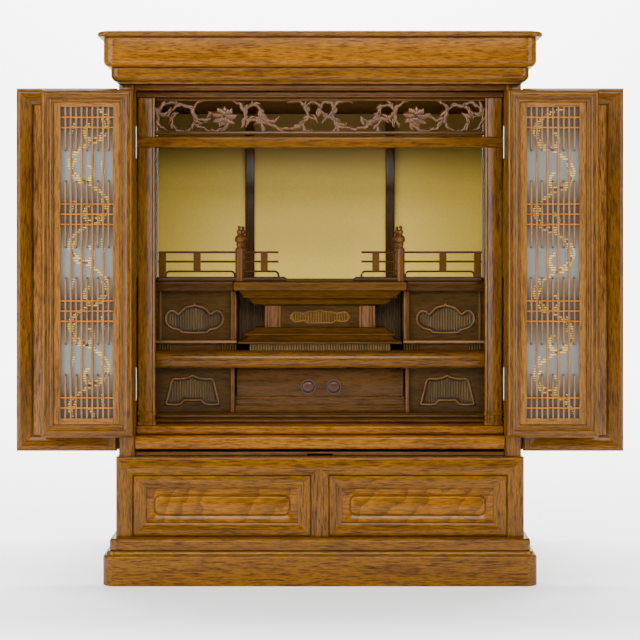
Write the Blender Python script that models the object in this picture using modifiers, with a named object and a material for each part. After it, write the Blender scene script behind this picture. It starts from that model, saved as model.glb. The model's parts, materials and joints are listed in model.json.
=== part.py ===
"""A Japanese household altar cabinet with folding outer doors and folding lattice doors.

Metres, +Z up. The origin is under the middle of the cabinet with its doors folded open.
The front faces -Y. A depth below is measured backward from the front plane of the pillars.
"""
import math

import bmesh
import bpy

# Overall sizes
HEIGHT = 0.600
BODY_WIDTH = 0.4412
BODY_DEPTH = 0.300
BOARD = 0.0176
GAP = 0.0003

# Top slab and cornice: how far each stands out past the body, and its height
SLAB_HEIGHT = 0.0060
SLAB_SIDE = 0.0209
SLAB_FRONT = 0.0340
SLAB_BACK = 0.0100
SLAB_CORNER = 0.018
FASCIA_HEIGHT = 0.0314
FASCIA_SIDE = 0.0148
FASCIA_FRONT = 0.0260
FASCIA_CORNER = 0.015
STEP_HEIGHT = 0.0172
STEP_SIDE = 0.0074
STEP_FRONT = 0.0160
STEP_CORNER = 0.011
NECK_DROP = 0.0022
MOULDING_ROUND = 0.0070

# Plinth and drawer case
BASE_HEIGHT = 0.0369
BASE_SIDE = 0.0152
BASE_FRONT = 0.0250
BASE_CORNER = 0.014
BASE_ROUND = 0.0035
FOOT_STEP_HEIGHT = 0.0130
FOOT_STEP_SIDE = 0.0086
FOOT_STEP_FRONT = 0.0180
FOOT_STEP_CORNER = 0.010
CASE_HEIGHT = 0.0869
CASE_SIDE = 0.0024
CASE_FRONT = 0.0040
CASE_STILE = 0.0182
CASE_CENTRE = 0.0190
CASE_RAIL = 0.0200
CASE_BACK = 0.0080
CASE_EASE = 0.0020
CUT_PAST = 0.010

# Drawers of the case
DRAWER_CLEAR = 0.0005
DRAWER_SET_BACK = 0.0010
DRAWER_SHORT = 0.030
DRAWER_FRONT = 0.0150
DRAWER_WALL = 0.0080
DRAWER_FLOOR = 0.0050
DRAWER_SIDE_DROP = 0.0120
DRAWER_FRAME = 0.0147
PANEL_SINK = 0.0060
PILL_INSET_SIDE = 0.0090
PILL_INSET_TOP = 0.0080
PILL_RISE = 0.0024
PILL_CORNER = 0.0050

# Pull-out tray under the sill
TRAY_HEIGHT = 0.0042
TRAY_SET_BACK = 0.0050
TRAY_DEPTH = 0.250
TRAY_CLEAR = 0.0005
TRAY_NOTCH = 0.0280
TRAY_NOTCH_DEPTH = 0.0120
TRAY_NOTCH_RISE = 0.0020

# Frame round the chamber
PILLAR_DEPTH = 0.030
PILLAR_ROUND = 0.0040
PILLAR_FLUTE = 0.0012
RAIL_SET_BACK = 0.0020
RAIL_THICK = 0.018
SILL_LIFT = 0.0030
SILL_HEIGHT = 0.0147
HEADER_HEIGHT = 0.0060
BOARD_SET_BACK = 0.0160
FLOOR_HEIGHT = 0.0094
CEILING_HEIGHT = 0.0063
BACK_THICK = 0.0100
GOLD_THICK = 0.0047
BACK_POST_WIDTH = 0.0110
BACK_POST_DEPTH = 0.0097
BACK_POST_AT = 0.0874

# Stiles, lintel and carved transom inside the pillars
STILE_WIDTH = 0.0179
STILE_OFF_SIDE = 0.0023
STILE_SET_BACK = 0.0200
STILE_THICK = 0.0140
STILE_BEAD = 0.0025
STILE_BEAD_OUT = 0.0010
STILE_COLLAR = 0.0010
STILE_COLLAR_HEIGHT = 0.0039
STILE_FOOT = 0.0073
LINTEL_HEIGHT = 0.0125
LINTEL_DROP = 0.0430
LINTEL_SET_BACK = 0.0172
LINTEL_THICK = 0.0174
LINTEL_EASE = 0.0015
TRANSOM_SET_BACK = 0.0240
TRANSOM_THICK = 0.0070
TRANSOM_TOP_STRIP = 0.0032
TRANSOM_BOTTOM_STRIP = 0.0035
TRANSOM_OVER_LINTEL = 0.0023
CARVING_THICK = 0.0017
SCROLL_STEPS = 5
CURL_ALONG = 0.1847
PEONY_AT = 0.583
PEONY_UP = 0.50
PEONY_PETALS = 5

# Outer folding doors
HINGE_RADIUS = 0.0012
HINGE_CLEAR = 0.0004
HINGE_LENGTH = 0.0340
HINGE_FROM_END = 0.0560
HINGE_BITE = 0.0026
EDGE_GAP = 0.0004
LEAF_GAP = 0.0010
LEAF_THICK = 0.0130
LEAF_ROUND = 0.0020
MEETING_GAP = 0.0004
OUTER_BOTTOM_LIFT = 0.0052
OUTER_TOP_DROP = 0.0036
OUTER_PIVOT_OUT = 0.0008
OUTER_FRAME = 0.0186
OUTER_BOTTOM_RAIL = 0.0172
OUTER_PANEL = 0.0040
GROOVE = 0.0030

# Inner lattice doors
LATTICE_PIVOT_OUT = 0.0003
LATTICE_FACE_GAP = 0.0020
LATTICE_BOTTOM_LIFT = 0.0233
LATTICE_TOP_DROP = 0.0072
LATTICE_MOULDING = 0.0144
LATTICE_FLAT_SIDE = 0.0072
LATTICE_FLAT_TOP = 0.0049
LATTICE_FLAT_BOTTOM = 0.0065
LATTICE_FLAT_SINK = 0.0030
SLAT = 0.0019
SLAT_THICK = 0.0035
SLAT_PITCH = 0.01164
CROSS_PITCH = 0.0110
GAUZE_THICK = 0.0007
REBATE = 0.0024

# Floor platform and the lower storey inside
PLATFORM_HEIGHT = 0.0103
PLATFORM_CLEAR = 0.0010
PLATFORM_BEAD_OUT = 0.0020
PLATFORM_BEAD_STEP = 0.0040
INSIDE_BACK_GAP = 0.0110
LOWER_HEIGHT = 0.0502
LOWER_SET_BACK = 0.0600
LOWER_BOARD = 0.0120
LOWER_INNER = 0.0959
LOWER_POST = 0.0054
LOWER_POST_OUT = 0.0040
LOWER_SKIRT = 0.0076
LOWER_SKIRT_OUT = 0.0020
WINDOW_SINK = 0.0050
BELL_WIDTH = 0.0648
BELL_HEIGHT = 0.0385
BELL_AT = 0.1448
BELL_UP = 0.0118
DRAWER_BED = 0.0174
BED_BOARD = 0.0030
BED_BEAD = 0.0020
INNER_DRAWER_DEPTH = 0.126
INNER_DRAWER_SIDE = 0.0016
INNER_DRAWER_TOP = 0.0019
KNOB_AT = 0.0144
KNOB_DROP = 0.0047
KNOB_RADIUS = 0.0084
KNOB_OUT = 0.0030
SHELF_HEIGHT = 0.0188
SHELF_ROUND = 0.0060

# Wings and altar table on the shelf
WING_HEIGHT = 0.0666
WING_SET_BACK = 0.0680
WING_BOARD = 0.0120
WING_UNDER_TABLE = 0.0028
WING_SIDE_BOARD = 0.0060
WING_POST = 0.0075
WING_POST_OUT = 0.0040
WING_STRIP = 0.0080
WING_LEDGE = 0.0030
WING_LEDGE_OUT = 0.0035
WING_PANEL_SINK = 0.0015
WING_TOP_HEIGHT = 0.0111
WING_TOP_SET_BACK = 0.0575
CLOUD_SHARE = 0.8545
CLOUD_HEIGHT = 0.0356
CLOUD_UP = 0.0192
TABLE_HALF = 0.0970
TABLE_SET_BACK = 0.0500
TABLE_BACK = 0.200
TABLE_WAIST_IN = 0.0345
TABLE_WAIST_BACK = 0.0250
TABLE_WAIST_TOP = 0.0282
TABLE_WAIST_FOOT = 0.0525
TABLE_PANEL_HALF = 0.0445
TABLE_PANEL_MARGIN = 0.0015
TABLE_WINDOW_WIDTH = 0.0688
TABLE_WINDOW_HEIGHT = 0.0174
TABLE_WINDOW_UP = 0.0032
TABLE_WINDOW_SINK = 0.0040
TABLE_TOP_GAP = 0.0005
TABLE_CORE_SET_BACK = 0.110
TABLE_CORE_CLEAR = 0.0006
TABLE_CORE_DROP = 0.0150
TABLE_WALL = 0.0060

# Railings
RAIL_SIZE = 0.0018
RAIL_LEVELS = (0.0324, 0.0219, 0.0108)
RAILING_SET_BACK = 0.0610
LEDGE_HEIGHT = 0.0047
LEDGE_DEPTH = 0.0060
NEWEL_IN = 0.0060
NEWEL_RADIUS = 0.0045
NEWEL_HEIGHT = 0.0347
NEWEL_REAR = 0.0960
FINIAL_HEIGHT = 0.0275
RETURN_END = 0.0467
RETURN_LEDGE_END = 0.0369
RAILING_POST = 0.0080
RAILING_POST_DEPTH = 0.0030
RAILING_POSTS_AT = (0.1386, 0.0629)
RAILING_POST_IN = 0.0010

# Places that follow from the sizes above
FRONT = SLAB_FRONT - (SLAB_FRONT + BODY_DEPTH + SLAB_BACK) / 2
BACK = FRONT + BODY_DEPTH
HALF = BODY_WIDTH / 2
INSIDE = HALF - BOARD
REACH = INSIDE - GAP
FOOT_STEP_Z = BASE_HEIGHT + GAP
CASE_Z = FOOT_STEP_Z + FOOT_STEP_HEIGHT + GAP
BODY_Z = CASE_Z + CASE_HEIGHT + GAP
SLAB_Z = HEIGHT - SLAB_HEIGHT
FASCIA_Z = SLAB_Z - GAP - FASCIA_HEIGHT
STEP_Z = FASCIA_Z - GAP - STEP_HEIGHT
BODY_TOP = STEP_Z - GAP
SILL_Z = BODY_Z + TRAY_HEIGHT + SILL_LIFT
FLOOR_Z = SILL_Z + SILL_HEIGHT + GAP
FLOOR_TOP = FLOOR_Z + FLOOR_HEIGHT
HEADER_Z = BODY_TOP - HEADER_HEIGHT
CEILING_Z = HEADER_Z - GAP - CEILING_HEIGHT
BACK_FACE = BACK - BACK_THICK
GOLD_FACE = BACK_FACE - GAP - GOLD_THICK
INSIDE_BACK = GOLD_FACE - INSIDE_BACK_GAP
STILE_OUTER = INSIDE - STILE_OFF_SIDE
STILE_INNER = STILE_OUTER - STILE_WIDTH
LINTEL_Z = CEILING_Z - LINTEL_DROP - LINTEL_HEIGHT
PLATFORM_SET_BACK = STILE_SET_BACK + STILE_THICK + STILE_COLLAR + PLATFORM_CLEAR + PLATFORM_BEAD_OUT
PLATFORM_Z = FLOOR_TOP + GAP
PLATFORM_TOP = PLATFORM_Z + PLATFORM_HEIGHT
LOWER_Z = PLATFORM_TOP + GAP
SHELF_Z = LOWER_Z + LOWER_HEIGHT + GAP
SHELF_TOP = SHELF_Z + SHELF_HEIGHT
WING_Z = SHELF_TOP + GAP
WING_TOP_Z = WING_Z + WING_HEIGHT + GAP
DECK = WING_TOP_Z + WING_TOP_HEIGHT
WING_INNER = TABLE_HALF - WING_UNDER_TABLE
WING_PANEL = STILE_INNER - WING_INNER - WING_POST
CLOUD_AT = STILE_INNER - WING_PANEL / 2
CLOUD_WIDTH = CLOUD_SHARE * WING_PANEL
DRAWER_DEPTH = BODY_DEPTH - DRAWER_SHORT
NEWEL_AT = TABLE_HALF - NEWEL_IN
REBATE_IN = REBATE - GAP

# Finishes: colour, roughness and metallic value
OAK = ((0.42, 0.20, 0.035, 1.0), 0.35, 0.0)
DARK_OAK = ((0.16, 0.075, 0.022, 1.0), 0.35, 0.0)
CARVED = ((0.20, 0.10, 0.035, 1.0), 0.40, 0.0)
GOLD_PAPER = ((0.62, 0.46, 0.13, 1.0), 0.45, 0.3)
GAUZE = ((0.35, 0.34, 0.30, 1.0), 0.80, 0.0)


def at_depth(depth):
    """The Y of a depth measured backward from the pillars' front plane."""
    return FRONT + depth


# Collections, and the calls that every piece is made with
for old in list(bpy.data.objects):
    bpy.data.objects.remove(old, do_unlink=True)
cabinet = bpy.data.collections.new("altar_cabinet")
tools = bpy.data.collections.new("cutters_and_joiners")
bpy.context.scene.collection.children.link(cabinet)
bpy.context.scene.collection.children.link(tools)


def claim(obj, name, finish, parent=None):
    """Name a finished object, give it its material and put it in the cabinet."""
    obj.name = name
    obj.data.name = name
    for holder in list(obj.users_collection):
        holder.objects.unlink(obj)
    cabinet.objects.link(obj)
    colour, roughness, metallic = finish
    material = bpy.data.materials.new(name)
    material.use_nodes = True
    shader = material.node_tree.nodes["Principled BSDF"]
    shader.inputs["Base Color"].default_value = colour
    shader.inputs["Roughness"].default_value = roughness
    shader.inputs["Metallic"].default_value = metallic
    material.diffuse_color = colour
    obj.data.materials.clear()
    obj.data.materials.append(material)
    if parent:
        obj.parent = parent
    return obj


def block(low, high):
    """A box between two corners."""
    bpy.ops.mesh.primitive_cube_add(size=1)
    obj = bpy.context.object
    for vertex in obj.data.vertices:
        for axis in range(3):
            share = vertex.co[axis] + 0.5
            vertex.co[axis] = low[axis] + share * (high[axis] - low[axis])
    return obj


def loft(rings, closed=False):
    """A solid through a row of like rings, capped at its ends or closed round."""
    shape = bmesh.new()
    loops = [[shape.verts.new(point) for point in ring] for ring in rings]
    pairs = list(zip(loops, loops[1:]))
    if closed:
        pairs.append((loops[-1], loops[0]))
    for one, two in pairs:
        for i, corner in enumerate(one):
            j = (i + 1) % len(one)
            shape.faces.new((corner, one[j], two[j], two[i]))
    if not closed:
        shape.faces.new(list(reversed(loops[0])))
        shape.faces.new(loops[-1])
    bmesh.ops.recalc_face_normals(shape, faces=shape.faces)
    mesh = bpy.data.meshes.new("loft")
    shape.to_mesh(mesh)
    shape.free()
    obj = bpy.data.objects.new("loft", mesh)
    bpy.context.scene.collection.objects.link(obj)
    return obj


def board_along_x(section, x_low, x_high):
    """A board of one section, given as (depth, height) points, run along X."""
    return loft([[(x, at_depth(d), z) for d, z in section] for x in (x_low, x_high)])


def turned(profile, sides, place):
    """A turned solid from (radius, height) points that run down its outer side."""
    mesh = bpy.data.meshes.new("profile")
    points = [(0.0, 0.0, profile[0][1])]
    points += [(radius, 0.0, height) for radius, height in profile]
    points.append((0.0, 0.0, profile[-1][1]))
    mesh.from_pydata(points, [(i, i + 1) for i in range(len(points) - 1)], [])
    obj = bpy.data.objects.new("turned", mesh)
    bpy.context.scene.collection.objects.link(obj)
    obj.location = place
    screw = obj.modifiers.new("Turn", "SCREW")
    screw.steps = sides
    screw.render_steps = sides
    screw.use_merge_vertices = True
    screw.merge_threshold = 0.00005
    return obj


def outline_plate(points, thickness, place):
    """An upright plate with an (x, z) outline, its middle plane at the given place."""
    curve = bpy.data.curves.new("outline", "CURVE")
    curve.dimensions = "2D"
    curve.fill_mode = "BOTH"
    curve.extrude = thickness / 2
    spline = curve.splines.new("POLY")
    spline.points.add(len(points) - 1)
    for point, (x, z) in zip(spline.points, points):
        point.co = (x, z, 0.0, 1.0)
    spline.use_cyclic_u = True
    obj = bpy.data.objects.new("outline", curve)
    bpy.context.scene.collection.objects.link(obj)
    obj.rotation_euler = (math.pi / 2, 0.0, 0.0)
    obj.location = place
    return as_mesh(obj)


def as_mesh(source):
    """Turn a curve object into a closed mesh object in the same place."""
    bpy.context.view_layer.update()
    graph = bpy.context.evaluated_depsgraph_get()
    mesh = bpy.data.meshes.new_from_object(source.evaluated_get(graph))
    shape = bmesh.new()
    shape.from_mesh(mesh)
    bmesh.ops.remove_doubles(shape, verts=shape.verts, dist=0.00001)
    bmesh.ops.recalc_face_normals(shape, faces=shape.faces)
    shape.to_mesh(mesh)
    shape.free()
    obj = bpy.data.objects.new("mesh", mesh)
    bpy.context.scene.collection.objects.link(obj)
    obj.matrix_world = source.matrix_world
    bpy.data.objects.remove(source, do_unlink=True)
    return obj


def combine(obj, others, operation):
    """Cut the others from an object, or join them to it."""
    for other in others:
        for holder in list(other.users_collection):
            holder.objects.unlink(other)
        tools.objects.link(other)
        other.hide_render = True
        other.display_type = "WIRE"
        step = obj.modifiers.new(operation.title(), "BOOLEAN")
        step.operation = operation
        step.solver = "EXACT"
        step.object = other
    return obj


def cut(obj, *others):
    return combine(obj, others, "DIFFERENCE")


def join(obj, *others):
    return combine(obj, others, "UNION")


def merge_flat(obj):
    """Merge the faces that lie in one plane after cuts and joins."""
    merge = obj.modifiers.new("Flat faces", "DECIMATE")
    merge.decimate_type = "DISSOLVE"
    merge.angle_limit = math.radians(0.5)


def pivot(name, x, depth, parent=None):
    """An empty on a hinge axis."""
    empty = bpy.data.objects.new(name, None)
    empty.empty_display_size = 0.02
    cabinet.objects.link(empty)
    empty.location = (x, at_depth(depth), 0.0)
    if parent:
        empty.parent = parent
        empty.location = (x - parent.location.x, at_depth(depth) - parent.location.y, 0.0)
    return empty


# Slab, cornice and plinth: the plan outline repeated at each step of the edge moulding
def plan(half_width, front, back, corner):
    """A board's plan: square at the back, rounded at its two front corners."""
    points = [(-half_width, back)]
    for side in (-1, 1):
        for i in range(4):
            turn = math.radians(30 * (i if side < 0 else 3 - i))
            x = half_width - corner * (1 - math.cos(turn))
            y = front + corner * (1 - math.sin(turn))
            points.append((side * x, y))
    points.append((half_width, back))
    return points


def moulded_board(name, side, front, corner, back_out, section, finish=OAK):
    """A board whose moulded edge runs along its front and both ends."""
    rings = []
    for inset, z in section:
        outline = plan(HALF + side - inset, FRONT - front + inset, BACK + back_out,
                       max(corner - inset, 0.001))
        rings.append([(x, y, z) for x, y in outline])
    return claim(loft(rings), name, finish)


def quarter(radius, z, start, end, steps=3):
    """(inset, height) points of a rounded edge, as an arc about a height."""
    points = []
    for i in range(steps + 1):
        turn = math.radians(start + (end - start) * i / steps)
        points.append((radius * (1 - math.cos(turn)), z + radius * math.sin(turn)))
    return points


slab_round = SLAB_HEIGHT / 2
moulded_board("top_slab", SLAB_SIDE, SLAB_FRONT, SLAB_CORNER, SLAB_BACK,
              quarter(slab_round, SLAB_Z + slab_round, -90, 90, 4))
moulded_board("cornice_fascia", FASCIA_SIDE, FASCIA_FRONT, FASCIA_CORNER, 0.0,
              quarter(MOULDING_ROUND, FASCIA_Z + MOULDING_ROUND, -90, 0)
              + [(0.0, FASCIA_Z + FASCIA_HEIGHT)])
neck_z = STEP_Z + NECK_DROP
moulded_board("cornice_step", STEP_SIDE, STEP_FRONT, STEP_CORNER, 0.0,
              [(STEP_SIDE, STEP_Z), (STEP_SIDE, neck_z - GAP)]
              + quarter(MOULDING_ROUND, neck_z + MOULDING_ROUND, -90, 0)
              + [(0.0, STEP_Z + STEP_HEIGHT)])
cove = (BASE_SIDE - FOOT_STEP_SIDE) * 0.7
moulded_board("plinth_base", BASE_SIDE, BASE_FRONT, BASE_CORNER, 0.0,
              [(0.0, 0.0), (0.0, BASE_HEIGHT - 2 * BASE_ROUND)]
              + quarter(BASE_ROUND, BASE_HEIGHT - 2 * BASE_ROUND, 0, 90)[1:]
              + [(cove, BASE_HEIGHT)])
moulded_board("plinth_step", FOOT_STEP_SIDE, FOOT_STEP_FRONT, FOOT_STEP_CORNER, 0.0,
              [(0.0, FOOT_STEP_Z), (0.0, CASE_Z - GAP - BASE_ROUND)]
              + quarter(BASE_ROUND, CASE_Z - GAP - BASE_ROUND, 0, 90)[1:])


# Drawer case: a top, two ends, a middle upright and a back, open below and in front
case_half = HALF + CASE_SIDE
case_front = at_depth(-CASE_FRONT)
case_top = CASE_Z + CASE_HEIGHT
bay_inner = CASE_CENTRE / 2
bay_outer = case_half - CASE_STILE
bay_top = case_top - CASE_RAIL


def bay_cutter(side):
    """The space for one drawer, flared at its mouth to ease the edges."""
    def ring(y, ease):
        inner = side * (bay_inner - ease)
        outer = side * (bay_outer + ease)
        low = CASE_Z - CUT_PAST
        high = bay_top + ease
        return [(inner, y, low), (outer, y, low), (outer, y, high), (inner, y, high)]
    return loft([ring(case_front - CASE_EASE, 2 * CASE_EASE),
                 ring(case_front + CASE_EASE, 0.0),
                 ring(BACK - CASE_BACK, 0.0)])


case = block((-case_half, case_front, CASE_Z), (case_half, BACK, case_top))
eased = case.modifiers.new("Eased edges", "BEVEL")
eased.width = CASE_EASE / 2
eased.segments = 1
cut(case, bay_cutter(-1), bay_cutter(1))
claim(case, "drawer_case", OAK)


def framed_front(x_low, x_high, z_low, z_high, y, thick, frame, sink):
    """A drawer front: a mitred frame that slopes in to a sunk panel."""
    steps = [(0.0, thick), (0.0, 0.0015), (0.0015, 0.0), (frame * 0.45, 0.0004),
             (frame, sink * 0.55), (frame, sink)]
    rings = []
    for inset, depth in steps:
        rings.append([(x_low + inset, y + depth, z_low + inset),
                      (x_high - inset, y + depth, z_low + inset),
                      (x_high - inset, y + depth, z_high - inset),
                      (x_low + inset, y + depth, z_high - inset)])
    return loft(rings)


def pill(x_low, x_high, z_low, z_high, y, rise, corner):
    """A raised field with round ends on the sunk panel."""
    rings = []
    for inset, depth in ((0.0, 0.001), (0.0, -rise * 0.6), (rise * 0.6, -rise)):
        ring = []
        radius = corner - inset
        corners = ((x_high - corner, z_high - corner), (x_low + corner, z_high - corner),
                   (x_low + corner, z_low + corner), (x_high - corner, z_low + corner))
        for quarter_turn, (x, z) in enumerate(corners):
            for turn in (0, 45, 90):
                angle = math.radians(90 * quarter_turn + turn)
                ring.append((x + radius * math.cos(angle), y + depth, z + radius * math.sin(angle)))
        rings.append(ring)
    return loft(rings)


def drawer(name, side):
    """One case drawer: an open box behind a framed front."""
    x_low, x_high = sorted((side * (bay_inner + DRAWER_CLEAR), side * (bay_outer - DRAWER_CLEAR)))
    z_low = CASE_Z
    z_high = bay_top - DRAWER_CLEAR
    y = case_front + DRAWER_SET_BACK
    front = framed_front(x_low, x_high, z_low, z_high, y, DRAWER_FRONT, DRAWER_FRAME, PANEL_SINK)
    inset = DRAWER_FRAME + PILL_INSET_SIDE
    rise = DRAWER_FRAME + PILL_INSET_TOP
    field = pill(x_low + inset, x_high - inset, z_low + rise, z_high - rise,
                 y + PANEL_SINK, PILL_RISE, PILL_CORNER)
    box_top = z_high - DRAWER_SIDE_DROP
    y_back = y + DRAWER_DEPTH
    body = block((x_low, y + DRAWER_FRONT - 0.001, z_low), (x_high, y_back, box_top))
    hollow = block((x_low + DRAWER_WALL, y + DRAWER_FRONT, z_low + DRAWER_FLOOR),
                   (x_high - DRAWER_WALL, y_back - DRAWER_WALL, z_high + CUT_PAST))
    join(front, field, body)
    cut(front, hollow)
    return claim(front, name, OAK)


drawer("drawer_left", -1)
drawer("drawer_right", 1)

# Pull-out tray between the pillars, with a finger notch under its front edge
tray_half = INSIDE - TRAY_CLEAR
tray_front = at_depth(TRAY_SET_BACK)
tray = block((-tray_half, tray_front, BODY_Z),
             (tray_half, tray_front + TRAY_DEPTH, BODY_Z + TRAY_HEIGHT))
notch = block((-TRAY_NOTCH / 2, tray_front - CUT_PAST, BODY_Z - CUT_PAST),
              (TRAY_NOTCH / 2, tray_front + TRAY_NOTCH_DEPTH, BODY_Z + TRAY_NOTCH_RISE))
cut(tray, notch)
claim(tray, "pull_out_tray", OAK)

# Carcase: pillars, side boards, back, floor, ceiling, sill and header
for side, label in ((-1, "left"), (1, "right")):
    inner, outer = side * INSIDE, side * HALF
    r = PILLAR_ROUND
    middle = side * (INSIDE + HALF) / 2
    flute = side * BOARD * 0.14
    y = FRONT
    section = [(inner, y + PILLAR_DEPTH), (inner, y + r), (inner + side * r * 0.3, y + r * 0.3),
               (inner + side * r, y), (middle - 2 * flute, y), (middle - flute, y + PILLAR_FLUTE),
               (middle + flute, y + PILLAR_FLUTE), (middle + 2 * flute, y), (outer - side * r, y),
               (outer - side * r * 0.3, y + r * 0.3), (outer, y + r), (outer, y + PILLAR_DEPTH)]
    pillar = loft([[(x, py, z) for x, py in section] for z in (BODY_Z, BODY_TOP)])
    claim(pillar, "pillar_" + label, OAK)
    low, high = sorted((inner, outer))
    side_board = block((low, at_depth(PILLAR_DEPTH + GAP), BODY_Z), (high, BACK, BODY_TOP))
    claim(side_board, "side_board_" + label, OAK)

claim(block((-REACH, BACK_FACE, BODY_Z), (REACH, BACK, BODY_TOP)), "back_board", OAK)
claim(block((-REACH, at_depth(BOARD_SET_BACK), FLOOR_Z), (REACH, BACK_FACE - GAP, FLOOR_TOP)),
      "floor_board", OAK)
claim(block((-REACH, at_depth(BOARD_SET_BACK), CEILING_Z), (REACH, BACK_FACE - GAP, HEADER_Z - GAP)),
      "ceiling_board", DARK_OAK)
claim(board_along_x([(RAIL_SET_BACK + 0.002, SILL_Z), (RAIL_SET_BACK, SILL_Z + 0.002),
                     (RAIL_SET_BACK, SILL_Z + SILL_HEIGHT - 0.002),
                     (RAIL_SET_BACK + 0.002, SILL_Z + SILL_HEIGHT),
                     (RAIL_SET_BACK + RAIL_THICK, SILL_Z + SILL_HEIGHT),
                     (RAIL_SET_BACK + RAIL_THICK, SILL_Z)], -REACH, REACH), "sill_rail", OAK)
claim(block((-REACH, at_depth(RAIL_SET_BACK), HEADER_Z),
            (REACH, at_depth(RAIL_SET_BACK + RAIL_THICK), BODY_TOP)), "header_rail", DARK_OAK)
claim(block((-REACH, GOLD_FACE, FLOOR_TOP + GAP), (REACH, BACK_FACE - GAP, CEILING_Z - GAP)),
      "gold_wall", GOLD_PAPER)
for side, label in ((-1, "left"), (1, "right")):
    x = side * BACK_POST_AT
    half = BACK_POST_WIDTH / 2
    post = block((x - half, GOLD_FACE - GAP - BACK_POST_DEPTH, FLOOR_TOP + GAP),
                 (x + half, GOLD_FACE - GAP, CEILING_Z - GAP))
    claim(post, "back_post_" + label, DARK_OAK)

# Stiles with collared feet and a bead on the inner edge
for side, label in ((-1, "left"), (1, "right")):
    foot = FLOOR_TOP + GAP
    heights = [(foot, STILE_COLLAR), (foot + STILE_COLLAR_HEIGHT, STILE_COLLAR),
               (foot + STILE_COLLAR_HEIGHT, 0.0),
               (foot + STILE_COLLAR_HEIGHT + STILE_FOOT, 0.0),
               (foot + STILE_COLLAR_HEIGHT + STILE_FOOT, STILE_COLLAR),
               (foot + 2 * STILE_COLLAR_HEIGHT + STILE_FOOT, STILE_COLLAR),
               (foot + 2 * STILE_COLLAR_HEIGHT + STILE_FOOT, 0.0), (CEILING_Z - GAP, 0.0)]
    rings = []
    for z, out in heights:
        near = at_depth(STILE_SET_BACK) - out
        far = at_depth(STILE_SET_BACK + STILE_THICK) + out
        bead = near - STILE_BEAD_OUT
        rings.append([(side * (STILE_OUTER + out), far, z), (side * (STILE_OUTER + out), near, z),
                      (side * (STILE_INNER + STILE_BEAD), near, z),
                      (side * (STILE_INNER + STILE_BEAD * 0.7), bead, z),
                      (side * (STILE_INNER - out), bead, z), (side * (STILE_INNER - out), far, z)])
    claim(loft(rings), "stile_" + label, OAK)

# Lintel, notched over the two stiles
lintel_front = at_depth(LINTEL_SET_BACK)
lintel = board_along_x([(LINTEL_SET_BACK + LINTEL_EASE, LINTEL_Z),
                        (LINTEL_SET_BACK, LINTEL_Z + LINTEL_EASE),
                        (LINTEL_SET_BACK, LINTEL_Z + LINTEL_HEIGHT - LINTEL_EASE),
                        (LINTEL_SET_BACK + LINTEL_EASE, LINTEL_Z + LINTEL_HEIGHT),
                        (LINTEL_SET_BACK + LINTEL_THICK, LINTEL_Z + LINTEL_HEIGHT),
                        (LINTEL_SET_BACK + LINTEL_THICK, LINTEL_Z)], -REACH, REACH)
for side in (-1, 1):
    low, high = sorted((side * (STILE_INNER - GAP), side * (STILE_OUTER + GAP)))
    cut(lintel, block((low, at_depth(STILE_SET_BACK) - STILE_BEAD_OUT - GAP, LINTEL_Z - CUT_PAST),
                      (high, lintel_front + LINTEL_THICK + CUT_PAST,
                       LINTEL_Z + LINTEL_HEIGHT + CUT_PAST)))
claim(lintel, "lintel", OAK)

# Carved transom: two strips joined by scrolling stems, leaves and two peonies
transom_low = LINTEL_Z + LINTEL_HEIGHT + TRANSOM_OVER_LINTEL
transom_high = CEILING_Z - GAP
field_low = transom_low + TRANSOM_BOTTOM_STRIP
field_high = transom_high - TRANSOM_TOP_STRIP
field_half = STILE_INNER - GAP
carving_y = at_depth(TRANSOM_SET_BACK + TRANSOM_THICK / 2)

# Each scroll: centre along the half length and up the height, radius at its start
# and end as shares of the height (CURL_ALONG turns them into shares of the half length
# sideways), and its start and end angle in degrees
SCROLLS = [
    (0.040, 0.76, 0.26, 0.20, -60, 235), (0.060, 0.22, 0.26, 0.22, 170, -90),
    (0.150, 0.60, 0.44, 0.38, 50, 270), (0.205, 0.98, 0.92, 0.88, -10, -122),
    (0.300, 0.62, 0.30, 0.24, 200, 340), (0.402, 0.62, 0.28, 0.24, -40, 250),
    (0.395, 0.14, 0.30, 0.24, 0, 200), (0.540, 0.52, 0.48, 0.46, 95, 215),
    (0.650, 0.66, 0.66, 0.62, 205, 318), (0.712, 0.66, 0.36, 0.24, 95, -160),
    (0.842, 0.46, 0.40, 0.46, 15, 262), (0.845, 0.40, 0.22, 0.40, 70, -90),
    (0.905, 0.52, 0.50, 0.42, -80, 110), (0.955, 0.80, 0.26, 0.20, 180, 320),
]


def scroll(side, entry):
    """One tapering stem, wound as a spiral arc."""
    along, up, first, last, start, end = entry
    height = field_high - field_low
    curve = bpy.data.curves.new("scroll", "CURVE")
    curve.dimensions = "3D"
    curve.bevel_depth = CARVING_THICK
    curve.bevel_resolution = 0
    curve.use_fill_caps = True
    spline = curve.splines.new("POLY")
    spline.points.add(SCROLL_STEPS - 1)
    for i, point in enumerate(spline.points):
        share = i / (SCROLL_STEPS - 1)
        turn = math.radians(start + (end - start) * share)
        radius = first + (last - first) * share
        x = (along + radius * CURL_ALONG * math.cos(turn)) * field_half
        z = field_low + (up + radius * math.sin(turn)) * height
        x = min(x, field_half - CARVING_THICK)
        z = min(max(z, field_low), field_high)
        point.co = (side * x, carving_y, z, 1.0)
        point.radius = 1.0 - 0.35 * abs(2 * share - 1)
    obj = bpy.data.objects.new("scroll", curve)
    bpy.context.scene.collection.objects.link(obj)
    return as_mesh(obj)


def peony(side):
    """A flower head: a plate whose rim swells in petals."""
    height = field_high - field_low
    points = []
    for i in range(3 * PEONY_PETALS):
        turn = 2 * math.pi * i / (3 * PEONY_PETALS)
        reach = 0.28 + 0.05 * math.cos(PEONY_PETALS * turn)
        points.append(((side * PEONY_AT + 1.15 * reach * CURL_ALONG * math.sin(turn)) * field_half,
                       field_low + (PEONY_UP + reach * math.cos(turn)) * height))
    return outline_plate(points, 2 * CARVING_THICK, (0.0, carving_y, 0.0))


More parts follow.
